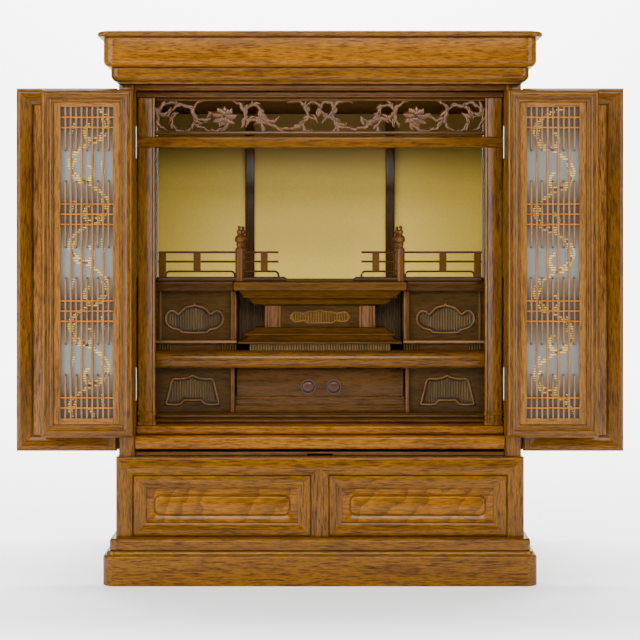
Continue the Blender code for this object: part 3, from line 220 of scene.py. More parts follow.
GOLDEN = tone(92, 58, 5)
LIT_GOLDEN = tone(110, 68, 5)
DOOR = tone(84, 52, 4)
PANEL = tone(110, 73, 30)
UMBER = tone(48, 26, 5)
oak_x = oak("oak_grain_across", "x", GOLDEN, UMBER)
oak_y = oak("oak_grain_back", "y", GOLDEN, UMBER)
oak_z = oak("oak_grain_up", "z", GOLDEN, UMBER)
# Painted light: a lighter copy of the oak for the cornice fascia, the sill rail and the floor board.
lit_oak_x = oak("painted_light_oak_across", "x", LIT_GOLDEN, UMBER)
lit_oak_y = oak("painted_light_oak_back", "y", LIT_GOLDEN, UMBER)
door_x = oak("door_oak_across", "x", DOOR, UMBER)
door_z = oak("door_oak_up", "z", DOOR, UMBER)
flat_x = oak("flat_oak_across", "x", PANEL, UMBER, 0.8)
flat_z = oak("flat_oak_up", "z", PANEL, UMBER, 0.8)


def loft(name, groups, materials, wrap=False, sharp=35):
    """One mesh of solids, each a row of like rings of points and the slot of its material."""
    shape = bmesh.new()
    for rings, index in groups:
        loops = [[shape.verts.new(point) for point in ring] for ring in rings]
        made = []
        pairs = list(zip(loops, loops[1:]))
        if wrap:
            pairs.append((loops[-1], loops[0]))
        else:
            made.append(shape.faces.new(list(reversed(loops[0]))))
            made.append(shape.faces.new(loops[-1]))
        for one, two in pairs:
            for i, corner in enumerate(one):
                j = (i + 1) % len(one)
                made.append(shape.faces.new((corner, one[j], two[j], two[i])))
        for face in made:
            face.material_index = index
    bmesh.ops.recalc_face_normals(shape, faces=shape.faces)
    return finished(name, shape, materials, sharp)


def ends_apart(piece):
    """Give the faces that look to either side the second material, with its grain run back."""
    for face in piece.data.polygons:
        if abs(face.normal.x) > 0.72:
            face.material_index = 1


def mount(piece, body, slot, *nodes):
    """Let a piece ride on its body, in place of the CAD nodes it stands for."""
    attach(piece, body)
    if nodes:
        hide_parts(*nodes)
    return piece


def build(name, groups, materials, *nodes, slot="dark_oak", body="cabinet", sharp=35):
    """Loft a piece and mount it."""
    return mount(loft(name, groups, materials, sharp=sharp), body, slot, *nodes)


def quarter(radius, z, start, end, steps=7):
    """(inset, height) points of a rounded edge, as an arc about a height."""
    points = []
    for i in range(steps + 1):
        turn = math.radians(start + (end - start) * i / steps)
        points.append((radius * (1 - math.cos(turn)), z + radius * math.sin(turn)))
    return points


def moulding(node, corner, section, woods):
    """A board with a moulded edge round its front and ends, its front corners rounded."""
    low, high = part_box(node)
    rings = []
    for inset, z in section:
        half, front, radius = high.x - inset, low.y + inset, max(corner - inset, 0.0008)
        ring = [(-half, high.y, z)]
        for side in (-1, 1):
            for i in range(13):
                turn = math.radians(7.5 * (i if side < 0 else 12 - i))
                ring.append((side * (half - radius * (1 - math.cos(turn))),
                             front + radius * (1 - math.sin(turn)), z))
        ring.append((half, high.y, z))
        rings.append(ring)
    piece = loft(node + "_moulding", [(rings, 0)], woods)
    ends_apart(piece)
    return mount(piece, "cabinet", "oak", node)


base_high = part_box("plinth_base")[1]
BASE_ROUND = 0.0035
BASE_COVE = 0.0046
EASE = 0.0008
section = [(EASE, 0.0), (0.0, EASE)] + quarter(BASE_ROUND, base_high.z - 2 * BASE_ROUND, 0, 90)
for i in range(1, 5):
    share = i / 4
    section.append((BASE_ROUND + (BASE_COVE - BASE_ROUND) * share ** 2,
                    base_high.z - BASE_ROUND * (1 - share)))
moulding("plinth_base", 0.014, section, [oak_x, oak_y])
step_low, step_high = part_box("plinth_step")
moulding("plinth_step", 0.01,
         [(EASE, step_low.z), (0.0, step_low.z + EASE)]
         + quarter(BASE_ROUND, step_high.z - BASE_ROUND, 0, 90), [oak_x, oak_y])


# The cornice is three oak boards stacked on the carcase: a narrow neck that swells into the
# lower moulding, a deeper fascia over it, and the thin top board with its rounded edge.
CORNICE_ROUND = 0.007
NECK_IN = 0.0074
NECK_DROP = 0.0022
low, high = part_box("cornice_step")
neck_z = low.z + NECK_DROP
moulding("cornice_step", 0.011,
         [(NECK_IN, low.z), (NECK_IN, neck_z - 0.0003)]
         + quarter(CORNICE_ROUND, neck_z + CORNICE_ROUND, -90, 0) + [(0.0, high.z - EASE), (EASE, high.z)],
         [oak_x, oak_y])
low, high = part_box("cornice_fascia")
moulding("cornice_fascia", 0.015,
         quarter(CORNICE_ROUND, low.z + CORNICE_ROUND, -90, 0) + [(0.0, high.z - EASE), (EASE, high.z)],
         [lit_oak_x, lit_oak_y])
low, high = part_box("top_slab")
slab_round = (high.z - low.z) / 2
moulding("top_slab", 0.018, quarter(slab_round, low.z + slab_round, -90, 90, 10), [oak_x, oak_y])


# The boards of the carcase keep the CAD's shape. Each gets its edges eased with sandpaper
# and the grain that runs along its length; those deep inside get a darker copy of the oak, painted shade.
def eased(node, materials, width=0.0008, sharp=30):
    """A copy of a CAD node with its edges rounded over."""
    shape = bmesh.new()
    shape.from_mesh(frame["nodes"][node].data)
    for face in shape.faces:
        face.material_index = 0
    bmesh.ops.remove_doubles(shape, verts=shape.verts, dist=0.00001)
    bmesh.ops.dissolve_limit(shape, angle_limit=math.radians(1), verts=shape.verts, edges=shape.edges)
    corners = [edge for edge in shape.edges if edge.calc_face_angle(0.0) > math.radians(sharp)]
    bmesh.ops.bevel(shape, geom=corners, offset=width, segments=3, profile=0.5, affect="EDGES",
                    clamp_overlap=True)
    return finished(node + "_board", shape, materials)


# Painted shade: a darker copy of the oak for the parts deep inside.
SHADED = tone(72, 45, 13)
SHADED_DARK = tone(46, 26, 10)
shaded_oak_x = oak("shaded_oak_across", "x", SHADED, SHADED_DARK, 0.7)
shaded_oak_z = oak("shaded_oak_up", "z", SHADED, SHADED_DARK, 0.7)


def board(node, material, slot, body="cabinet", width=0.0008):
    """An eased board in its material."""
    return mount(eased(node, [material], width), body, slot, node)


for side in ("left", "right"):
    board("pillar_" + side, oak_z, "oak", width=0.0012)
    board("side_board_" + side, oak_z, "oak")
    board("stile_" + side, oak_z, "oak", width=0.0007)
    board("back_post_" + side, shaded_oak_z, "dark_oak")
board("back_board", oak_z, "oak")
board("sill_rail", lit_oak_x, "oak", width=0.0014)
board("floor_board", lit_oak_x, "oak", width=0.0018)
board("lintel", door_x, "oak", width=0.0012)
board("header_rail", shaded_oak_x, "dark_oak")
board("ceiling_board", shaded_oak_x, "dark_oak", width=0.0012)
board("floor_platform", shaded_oak_x, "dark_oak", width=0.0006)
board("middle_shelf", door_x, "oak", width=0.0014)
board("drawer_bed", shaded_oak_x, "dark_oak", width=0.0004)
board("pull_out_tray", shaded_oak_x, "oak", body="tray")


# The gold wall is a board faced with gold paper, finely speckled, with painted shade that darkens it to olive
# towards its top, where the lintel shades it. It stands in grooves against the back board.
gold_paper, tree, shader = blank("gold_paper")
place = add(tree, "TexCoord").outputs["Object"]
speckle = add(tree, "TexNoise", {"Vector": place, "Scale": 900.0, "Detail": 2.0}).outputs["Fac"]
height = add(tree, "SeparateXYZ", {"Vector": place}).outputs["Z"]
# Painted shade: the gold darkens to olive towards the top, where the lintel shades it.
painted_lintel_shade = add(tree, "MapRange", {"Value": height, "From Min": 0.425, "From Max": 0.5},
              interpolation_type="SMOOTHSTEP").outputs["Result"]
leaf_gold = ramp(tree, speckle, [(0.3, tone(255, 206, 56)), (0.7, tone(255, 226, 100))])
gold_with_painted_shade = add(tree, "Mix", {"Factor": painted_lintel_shade, "A": leaf_gold, "B": tone(118, 90, 24)}, data_type="RGBA")
feed(tree, shader, {"Base Color": gold_with_painted_shade.outputs["Result"], "Roughness": 0.55})
mount(eased("gold_wall", [gold_paper], 0.0004), "cabinet", "gold_paper", "gold_wall")


# The drawer case is a box of oak boards behind a front frame. The frame's outer stiles are
# mitred to its top rail, and the middle stile ends in a point between the two bays' slopes.
case_low, case_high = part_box("drawer_case")
FACE_THICK = 0.005
RAIL_HIGH = 0.02
STILE_WIDE = 0.0182
MITRE = STILE_WIDE / RAIL_HIGH
CENTRE_HALF = 0.0095
SLOPE = 0.0076
LIP = 0.0021
CLEAR = 0.0001
SIDES = ((-1, "left"), (1, "right"))
EASED_EDGE = [(0.0, FACE_THICK), (0.0, 0.0022), (0.0003, 0.001), (0.001, 0.0003), (0.0022, 0.0)]
shape = bmesh.new()
shape.from_mesh(frame["nodes"]["drawer_case"].data)
for vert in shape.verts:
    if vert.co.y < case_low.y + FACE_THICK / 2:
        vert.co.y = case_low.y + FACE_THICK
bmesh.ops.remove_doubles(shape, verts=shape.verts, dist=0.00001)
mount(finished("drawer_case_box", shape, [oak_y]), "cabinet", "oak", "drawer_case")


def slope_depth(distance):
    """How far back the frame's face lies at a distance from the opening's edge."""
    if distance >= SLOPE:
        return 0.0
    if distance <= 0.0004:
        return LIP
    return 0.0015 * (1 - distance / SLOPE) ** 1.4


def slope_points(width):
    """(distance from the outer edge, depth) of a member's slope, down to its inner side."""
    points = [(width - share * SLOPE, slope_depth(share * SLOPE)) for share in (1.0, 0.75, 0.5, 0.25, 0.06)]
    return points + [(width, LIP), (width, FACE_THICK)]


def mitre(side, points):
    """The end of a rail where it meets a stile."""
    return [(side * (half - w * MITRE - CLEAR), front + v, top - w) for w, v in points]


top, front, half = case_high.z, case_low.y, case_high.x
for side, label in SIDES:
    section = EASED_EDGE + slope_points(STILE_WIDE)
    foot = [(side * (half - u), front + v, case_low.z) for u, v in section]
    head = [(side * (half - u), front + v, top - u / MITRE - CLEAR) for u, v in section]
    build("case_stile_" + label, [([foot, head], 0)], [oak_z], slot="oak")
flat_low = RAIL_HIGH - SLOPE
section = EASED_EDGE + [(flat_low, 0.0), (flat_low, FACE_THICK)]
slope = [(flat_low, FACE_THICK)] + slope_points(RAIL_HIGH)
groups = [([mitre(-1, section), mitre(1, section)], 0)]
for side in (-1, 1):
    inner = [(side * (CENTRE_HALF * (1 - (RAIL_HIGH - w) / SLOPE) + CLEAR), front + v, top - w)
             for w, v in slope]
    groups.append(([mitre(side, slope), inner], 0))
build("case_top_rail", groups, [oak_x], slot="oak")
section = [(x * CENTRE_HALF / 10, slope_depth(SLOPE * (1 - abs(x / 10)))) for x in range(-10, 11)]
section = [(-CENTRE_HALF, FACE_THICK)] + section + [(CENTRE_HALF, FACE_THICK)]
foot = [(x, front + v, case_low.z) for x, v in section]
head = [(x, front + v, top - RAIL_HIGH + SLOPE * (1 - abs(x) / CENTRE_HALF) - CLEAR) for x, v in section]
build("case_middle_stile", [([foot, head], 0)], [oak_z], slot="oak")


# Each of the two drawers is an oak box. Its front is a mitred frame round a sunk panel of
# figured oak, with a raised field in a routed groove that serves as the grip.
figured_x = oak("figured_oak", "x", tone(112, 70, 9), tone(44, 24, 5), 0.8, True)


def mitred(groups, edges, section, rails, split, y_of):
    """Add a frame's four mitred members, as (inset, depth) points round each member.

    rails has the widths of the left, right, bottom and top members. Insets past split grow
    with the member's width.
    """
    x0, x1, z0, z1 = edges

    def inset_on(rail, inset):
        if inset <= split:
            return inset
        return split + (inset - split) * (rails[rail] - split) / (rails[0] - split)

    points = [([inset_on(rail, inset) for rail in range(4)], y_of(depth)) for inset, depth in section]
    for rail, edge, way in ((0, x0, 1), (1, x1, -1)):
        groups.append(([[(edge + way * p[rail], y, z0 + p[2] + CLEAR) for p, y in points],
                        [(edge + way * p[rail], y, z1 - p[3] - CLEAR) for p, y in points]], 0))
    for rail, edge, way in ((2, z0, 1), (3, z1, -1)):
        groups.append(([[(x0 + p[0] + CLEAR, y, edge + way * p[rail]) for p, y in points],
                        [(x1 - p[1] - CLEAR, y, edge + way * p[rail]) for p, y in points]], 1))


def plank(name, low, high, materials, width=0.0006):
    """A board between two corners, its edges eased."""
    shape = bmesh.new()
    bmesh.ops.create_cube(shape, size=1.0)
    for vert in shape.verts:
        vert.co = [low[i] if vert.co[i] < 0 else high[i] for i in range(3)]
    bmesh.ops.bevel(shape, geom=shape.edges[:], offset=width, segments=2, profile=0.5, affect="EDGES")
    return finished(name, shape, materials)


def rounded(x0, x1, z0, z1, radius, y):
    """A ring of points round a rectangle with rounded corners."""
    ring = []
    for x, z, start in ((x1, z1, 0), (x0, z1, 90), (x0, z0, 180), (x1, z0, 270)):
        middle_x = x - radius if x == x1 else x + radius
        middle_z = z - radius if z == z1 else z + radius
        for i in range(7):
            turn = math.radians(start + 15 * i)
            ring.append((middle_x + radius * math.cos(turn), y, middle_z + radius * math.sin(turn)))
    return ring


def drawer_boards(low, high, front, wall, drop, bottom):
    """The corners of a drawer's two sides, its back and its bottom."""
    top = high.z - drop
    return [((low.x, front, low.z), (low.x + wall, high.y, top)),
            ((high.x - wall, front, low.z), (high.x, high.y, top)),
            ((low.x + wall, high.y - wall, low.z), (high.x - wall, high.y, top)),
            ((low.x + wall, front, low.z + bottom[0]), (high.x - wall, high.y - wall, low.z + bottom[1]))]


DRAWER_FRAME = 0.0147
FRAME_THICK = 0.0066
CORE_NEAR = 0.0068
CORE_FAR = 0.015
PANEL_SINK = 0.006
PANEL_TUCK = 0.002
PILL_SIDE = 0.009
PILL_TOP = 0.008
PILL_ROUND = 0.0062
PILL = ((0.0016, 0.0), (0.0011, 0.0004), (0.0007, 0.0015), (0.0001, 0.0016), (0.0, 0.0), (-0.0002, -0.0012),
        (-0.0008, -0.002), (-0.0018, -0.0024))
FRAME_SECTION = [(0.0, FRAME_THICK), (0.0, 0.002), (0.0003, 0.0009), (0.001, 0.0002), (0.002, 0.0),
                 (0.007, 0.0003), (0.0125, 0.0012), (0.014, 0.0016), (0.0146, 0.0022),
                 (DRAWER_FRAME, 0.003), (DRAWER_FRAME, FRAME_THICK)]
for label in ("left", "right"):
    node = "drawer_" + label
    low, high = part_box(node)

    def ring(side, top, radius, depth):
        """A rounded ring, set in from the drawer's ends and from its top and bottom."""
        return rounded(low.x + side, high.x - side, low.z + top, high.z - top, radius, low.y + depth)

    groups = []
    mitred(groups, (low.x, high.x, low.z, high.z), FRAME_SECTION, [DRAWER_FRAME] * 4, 0.0,
           lambda depth: low.y + depth)
    build(node + "_front_frame", groups, [oak_z, oak_x], slot="oak", body=node)
    tucked = DRAWER_FRAME - PANEL_TUCK
    rings = [ring(tucked, tucked, 0.0005, depth) for depth in (PANEL_SINK + 0.004, PANEL_SINK)]
    for reach, depth in PILL:
        rings.append(ring(DRAWER_FRAME + PILL_SIDE - reach, DRAWER_FRAME + PILL_TOP - reach,
                          PILL_ROUND + reach, PANEL_SINK + depth))
    build(node + "_panel", [(rings, 0)], [figured_x], slot="oak", body=node, sharp=50)
    core = ((low.x, low.y + CORE_NEAR, low.z), (high.x, low.y + CORE_FAR, high.z))
    boards = [core] + drawer_boards(low, high, low.y + CORE_FAR, 0.008, 0.012, (0.0, 0.005))
    for part, corners in zip(("core", "side_a", "side_b", "back", "bottom"), boards):
        piece = plank(node + "_" + part, *corners, [oak_y if "side" in part else oak_x])
        mount(piece, node, "oak", *([node] if part == "core" else []))


# Each outer leaf is a flat panel of straight-grained oak, loose in the grooves of a mitred
# frame. The frame is rounded over outside and slopes to the panel, alike on both faces.
panel_z = oak("panel_oak", "z", PANEL, UMBER, 1.15)
OUTER_FRAME = 0.0186
OUTER_BOTTOM = 0.0172
LEAF = 0.013
OUTER_ROUND = 0.0052
OUTER_PAST = 0.0159
OUTER_UNDER = 0.0145


def round_over(radius):
    """(inset, depth) points of a quarter round, from the side of a leaf to its face."""
    points = []
    for i in range(8):
        turn = math.radians(90 * i / 7)
        points.append((radius * (1 - math.cos(turn)), radius * (1 - math.sin(turn))))
    return points


outer_face = round_over(OUTER_ROUND)
outer_face += [(0.0075, 0.0002), (0.012, 0.0007), (0.016, 0.0015), (0.0174, 0.0022), (0.0182, 0.0033),
               (OUTER_FRAME, 0.0042), (OUTER_FRAME - 0.003, 0.0042)]
outer_section = outer_face + [(inset, LEAF - depth) for inset, depth in reversed(outer_face)]
leaves = [(side, number) for side in ("left", "right") for number in (1, 2)]
for side, number in leaves:
    leaf = "outer_leaf_%s_%d" % (side, number)
    low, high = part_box(leaf + "_panel")
    leaf_face = (low.y + high.y) / 2 - LEAF / 2
    edges = (low.x - OUTER_PAST, high.x + OUTER_PAST, low.z - OUTER_UNDER, high.z + OUTER_PAST)
    groups = []
    mitred(groups, edges, outer_section, [OUTER_FRAME, OUTER_FRAME, OUTER_BOTTOM, OUTER_FRAME],
           OUTER_FRAME * 0.36, lambda depth: leaf_face + depth)
    build(leaf + "_mitred_frame", groups, [door_z, door_x], leaf + "_frame", slot="oak", body=leaf)
    mount(eased(leaf + "_panel", [panel_z], 0.0003), leaf, "oak", leaf + "_panel")


# Each lattice leaf has a mitred moulding with a bead inside, and in it a plain flat frame.
# Nine slim slats and ten cross bars are let into the flat frame: four slats run through, and
# five stop short between the groups of bars, each end followed by a short dark piece, painted shadow.
MOULDING = 0.0144
FLAT_SIDE = 0.0072
FLAT_TOP = 0.0049
FLAT_BOTTOM = 0.0065
REBATE = 0.0024
GRID_NEAR = 0.0037
GRID_FAR = 0.0072
GAUZE_FAR = 0.0085
SLAT = 0.0019
SLAT_PITCH = 0.01164
CROSS_PITCH = 0.011
SLAT_PAST = 0.0237
SLAT_EASE = 0.0004
LATTICE_PAST = 0.0195
LATTICE_UNDER = 0.0188
LATTICE_OVER = 0.0172
LATTICE_NEAR = 0.0075
PIN_LONG = 0.0016
PIN_HALF = 0.0009
lattice_face = round_over(0.005)
lattice_face += [(0.0064, 0.0002), (0.0076, 0.0009), (0.0085, 0.0017), (0.0093, 0.0019), (0.01, 0.0014),
                 (0.0108, 0.0008), (0.0119, 0.0005), (0.013, 0.0008), (0.0139, 0.0018),
                 (MOULDING, 0.0032)]
lattice_section = lattice_face + [(MOULDING, LEAF), (0.004, LEAF), (0.0012, LEAF - 0.0012),
                                  (0.0, LEAF - 0.004)]


def bar(groups, index, section, axis, ends):
    """Add a bar: a section that runs along one axis between two ends."""
    place = {"x": lambda a, b, end: (end, a, b), "y": lambda a, b, end: (a, end, b),
             "z": lambda a, b, end: (a, b, end)}[axis]
    groups.append(([[place(a, b, end) for a, b in section] for end in ends], index))


def slim(groups, index, axis, middle, half, ends, front, back, y_of):
    """Add a slim bar with eased front edges, along x or z, at its front and back depths."""
    a, b = middle - half, middle + half
    section = [(a, y_of(back)), (a, y_of(front + SLAT_EASE)), (a + SLAT_EASE, y_of(front)),
               (b - SLAT_EASE, y_of(front)), (b, y_of(front + SLAT_EASE)), (b, y_of(back))]
    if axis == "x":
        section = [(y, z) for z, y in section]
    bar(groups, index, section, axis, ends)


slat_light = oak("slat_oak_up", "z", tone(126, 88, 48), tone(82, 52, 24), 0.5)
slat_bar = oak("slat_oak_across", "x", tone(142, 84, 20), tone(92, 50, 12), 0.5)
# Near-black: painted shadow past the stopped slats' ends, and the dark rings of the knobs.
slat_end_shadow_and_knob_ring = plain("slat_end_shadow_knob_ring_dark", tone(24, 16, 10), 0.6)
for side, number in leaves:
    leaf = "lattice_leaf_%s_%d" % (side, number)
    low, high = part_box(leaf + "_gauze")
    face_y, way = (high.y + LATTICE_NEAR, -1.0) if number == 1 else (low.y - LATTICE_NEAR, 1.0)

    def y_of(depth):
        """The Y of a depth behind the leaf's moulded face."""
        return face_y + way * depth

    x0, x1 = low.x - LATTICE_PAST, high.x + LATTICE_PAST
    z0, z1 = low.z - LATTICE_UNDER, high.z + LATTICE_OVER
    groups = []
    mitred(groups, (x0, x1, z0, z1), lattice_section, [MOULDING] * 4, MOULDING, y_of)
    build(leaf + "_moulding", groups, [door_z, door_x], leaf + "_frame", slot="oak", body=leaf)

    def flat(edge, out, width):
        """(place, Y) round a flat member, with the rebate that holds the lattice."""
        section = [(0.0, 0.003), (width - 0.0004, 0.003), (width, 0.0034), (width, GRID_NEAR - CLEAR),
                   (width - REBATE, GRID_NEAR - CLEAR), (width - REBATE, GAUZE_FAR), (width, GAUZE_FAR),
                   (width, LEAF), (0.0, LEAF)]
        return [(edge + out * u, y_of(v)) for u, v in section]

    fx0, fx1 = x0 + MOULDING + CLEAR / 2, x1 - MOULDING - CLEAR / 2
    fz0, fz1 = z0 + MOULDING + CLEAR / 2, z1 - MOULDING - CLEAR / 2
    groups = []
    for edge, out in ((fx0, 1), (fx1, -1)):
        bar(groups, 0, flat(edge, out, FLAT_SIDE), "z", (fz0, fz1))
    for edge, out, width in ((fz0, 1, FLAT_BOTTOM), (fz1, -1, FLAT_TOP)):
        section = [(y, z) for z, y in flat(edge, out, width)]
        bar(groups, 1, section, "x", (fx0 + FLAT_SIDE + CLEAR, fx1 - FLAT_SIDE - CLEAR))
    build(leaf + "_flat_frame", groups, [flat_z, flat_x], slot="oak", body=leaf)

    rebate_in = REBATE - 0.0003
    gap = (high.z - low.z - 2 * rebate_in - 8 * CROSS_PITCH) / 3
    levels = []
    bands = []
    z = low.z + rebate_in
    for group, count in enumerate((2, 3, 3, 2)):
        z += CROSS_PITCH if group == 0 else gap
        bands.append((z, z + (count - 1) * CROSS_PITCH))
        for i in range(count):
            levels.append(z)
            z += CROSS_PITCH if i < count - 1 else 0.0
    middle = (low.x + high.x) / 2
    groups = []
    for i in range(4):
        x = middle + (i - 1.5) * SLAT_PITCH
        slim(groups, 0, "z", x, SLAT / 2, (low.z, high.z), GRID_NEAR, GRID_FAR, y_of)
    for i in range(5):
        x = middle + (i - 2) * SLAT_PITCH
        for first, last in bands:
            ends = (max(first - SLAT_PAST, low.z), min(last + SLAT_PAST, high.z))
            slim(groups, 0, "z", x, SLAT * 0.46, ends, GRID_NEAR + 0.0004, GRID_FAR, y_of)
            # Past each stopped end, a short dark piece: painted shadow of the slat's end.
            for end in (ends[0] - 0.0018, ends[1] + 0.0018):
                if low.z < end < high.z:
                    span = sorted((end, end + (PIN_LONG if end < first else -PIN_LONG)))
                    slim(groups, 2, "z", x, PIN_HALF, span, GRID_FAR - 0.0016, GRID_FAR, y_of)
    for z in levels:
        slim(groups, 1, "x", z, SLAT * 0.45, (low.x, high.x), GRID_NEAR + 0.0002, GRID_FAR - 0.0002, y_of)
    build(leaf + "_slats", groups, [slat_light, slat_bar, slat_end_shadow_and_knob_ring], leaf + "_lattice", slot="oak", body=leaf)


# The gauze is one fine grey silk cloth to a leaf, stretched in the rebate behind the slats, with painted
# shade darkening it near each group of cross bars. Scrolling stems are woven into it in rows of short gold
# floats, fainter ones in silver.
GREY = tone(102, 100, 94)
BAR_SHADE_GREY = tone(62, 57, 52)
BAR_SHADE_FADE = 0.027
gauze, tree, shader = blank("silk_gauze")
place = add(tree, "TexCoord").outputs["Object"]
height = add(tree, "SeparateXYZ", {"Vector": place}).outputs["Z"]
height = add(tree, "MapRange", {"Value": height, "From Min": levels[0], "From Max": levels[-1]})
total = levels[-1] - levels[0]
# Painted shade: the cloth is darker by each group of cross bars, fading to grey between the groups.
stops = [((z - levels[0]) / total, BAR_SHADE_GREY) for band in bands for z in band]
for (first, last), (next_first, next_last) in zip(bands, bands[1:]):
    stops += [((last + BAR_SHADE_FADE - levels[0]) / total, GREY), ((next_first - BAR_SHADE_FADE - levels[0]) / total, GREY)]
shade = ramp(tree, height.outputs["Result"], sorted(stops))
threads = add(tree, "Mapping", {"Vector": place, "Scale": (300.0, 1.0, 1600.0)}).outputs["Vector"]
weave = add(tree, "TexNoise", {"Vector": threads, "Scale": 1.0}).outputs["Fac"]
weave = add(tree, "MapRange", {"Value": weave, "To Min": 0.72, "To Max": 1.2}).outputs["Result"]
cloth_tone = multiply(tree, shade, weave, 1.0)
feed(tree, shader, {"Base Color": cloth_tone, "Roughness": 0.8, "Sheen Weight": 0.2})
gold_thread = plain("gold_thread", tone(222, 172, 10), 0.5)
silver_thread = plain("silver_thread", tone(170, 168, 150), 0.5)
ROW = 0.00255
FLOAT_HALF = 0.00055
FLOAT_SHORTEST = 0.0012
FLOAT_TIP = 0.0003
FLOAT_OUT = 0.0002
HEM = 0.0021
WAVE = 4.1


def scrolls(turn):
    """(across, down, width) points in millimetres: a stem that waves down a leaf, with curls."""
    stems = [[(30 + 22 * math.sin(math.radians(down * WAVE + turn)), down,
               2.0 + 2.4 * math.sin(math.radians(down * 5 + turn)) ** 2) for down in range(3, 338, 6)]]
    for bend in range(8):
        crest = (90 + 180 * bend - turn) / WAVE
        way = 1 if bend % 2 == 0 else -1
        curl = []
        for i in range(14):
            share = i / 13
            angle = math.radians(-50 + 290 * share)
            radius = 16 - 9 * share
            curl.append((30 + way * (4 + radius * math.cos(angle)), crest + 8 + radius * math.sin(angle),
                         1.8 + 3.4 * math.sin(math.pi * share)))
        stems.append(curl)
    return stems


faint = [[(14 + 30 * (k % 2), 18 + 42 * k, 3), (10 + 36 * (k % 2), 30 + 42 * k, 5)] for k in range(8)]


def floats(stems, width, height):
    """(left, right, level down) of each woven float, where a stem crosses a row of the weave."""
    found = []
    for stem in stems:
        path = []
        for (xa, za, wa), (xb, zb, wb) in zip(stem, stem[1:]):
            for i in range(8):
                share = i / 8
                path.append([(a + (b - a) * share) / 1000 for a, b in ((xa, xb), (za, zb), (wa, wb))])
        rows = {}
        last = {}
        for step, (x, down, wide) in enumerate(path):
            reach = max(wide * 0.42, ROW * 0.55)
            for row in range(int((down - reach) / ROW) + 1, int((down + reach) / ROW) + 1):
                half = max(FLOAT_SHORTEST, wide * 0.34)
                key = (row, 0)
                while key in last and step - last[key] > 9:
                    key = (row, key[1] + 1)
                last[key] = step
                spans = rows.setdefault(key, [x - half, x + half])
                spans[0] = min(spans[0], x - half)
                spans[1] = max(spans[1], x + half)
        for (row, run), (left, right) in rows.items():
            left, right = max(left, FLOAT_OUT), min(right, width - FLOAT_OUT)
            if right - left > FLOAT_SHORTEST and 0 < row * ROW < height:
                found.append((left, right, row * ROW))
    return found


for side, number in leaves:
    leaf = "lattice_leaf_%s_%d" % (side, number)
    low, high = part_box(leaf + "_gauze")
    cloth = mount(plank(leaf + "_silk", low, high, [gauze], 0.0001), leaf, "gauze", leaf + "_gauze")
    front_y, way = (high.y, 1.0) if number == 1 else (low.y, -1.0)
    open_low, open_high = low.x + HEM, high.x - HEM
    wide, top = open_high - open_low, high.z - HEM
    groups = []
    for stems, index in ((scrolls(20 if side == "left" else 165), 0), (faint, 1)):
        for left, right, down in floats(stems, wide, top - low.z - HEM):
            xa, xb = open_low + left, open_low + right
            if number == 1:
                xa, xb = open_high - right, open_high - left
            z = top - down
            ring = [(xa, z), (xa + FLOAT_TIP, z - FLOAT_HALF), (xb - FLOAT_TIP, z - FLOAT_HALF), (xb, z),
                    (xb - FLOAT_TIP, z + FLOAT_HALF), (xa + FLOAT_TIP, z + FLOAT_HALF)]
            bar(groups, index, ring, "y", (front_y, front_y + way * FLOAT_OUT))
    build(leaf + "_floats", groups, [gold_thread, silver_thread], slot="gauze", body=leaf)


# Every leaf hangs on two small steel butt hinges: a pin in a barrel of five knuckles, and
# two plates, screwed to the leaf and to what it hangs from. Only the barrels and their finials are built.
hinge_metal = plain("hinge_steel", tone(150, 148, 144), 0.35, 1.0)
HINGE_HALF = 0.017
HINGE_FROM_END = 0.056
HINGE_RADIUS = 0.0012
KNUCKLE = HINGE_HALF * 0.4
FINIAL = ((0.0, 0.0009), (0.0006, 0.0011), (0.0012, 0.0006))
HUNG = (("outer_leaf_%s_1", "doors_%s", "_panel", OUTER_UNDER, OUTER_PAST),
        ("outer_leaf_%s_2", "outer_fold_%s", "_panel", OUTER_UNDER, OUTER_PAST),
        ("lattice_leaf_%s_1", "lattice_hinge_%s", "_gauze", LATTICE_UNDER, LATTICE_OVER),
        ("lattice_leaf_%s_2", "lattice_fold_%s", "_gauze", LATTICE_UNDER, LATTICE_OVER))
joints = {item["name"]: item for item in frame["record"]["behaviour"]["joints"]}


def turned(groups, axis, centre, profile, count):
    """Add a turned shape along y or z: its (radius, place) points, swept round a centre."""
    rings = []
    for radius, along in profile:
        ring = []
        for k in range(count):
            turn = 2 * math.pi * k / count
            a, b = centre[0] + radius * math.cos(turn), centre[1] + radius * math.sin(turn)
            ring.append((a, b, along) if axis == "z" else (a, along, b))
        rings.append(ring)
    groups.append((rings, 0))


for side in ("left", "right"):
    for leaf, joint, inner, under, over in HUNG:
        leaf = leaf % side
        axle = joints[joint % side]["pos_m"][:2]
        low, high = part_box(leaf + inner)
        groups = []
        for middle in (low.z - under + HINGE_FROM_END, high.z + over - HINGE_FROM_END):
            for i in range(5):
                start = middle - HINGE_HALF + i * KNUCKLE
                ends = (start + CLEAR, start + KNUCKLE - CLEAR)
                turned(groups, "z", axle, [(HINGE_RADIUS, end) for end in ends], 12)
            for tip in (-1, 1):
                profile = [(radius, middle + tip * (HINGE_HALF + out)) for out, radius in FINIAL]
                turned(groups, "z", axle, profile, 12)
        build(leaf + "_hinges", groups, [hinge_metal], slot="hinge_metal", body=leaf, sharp=50)


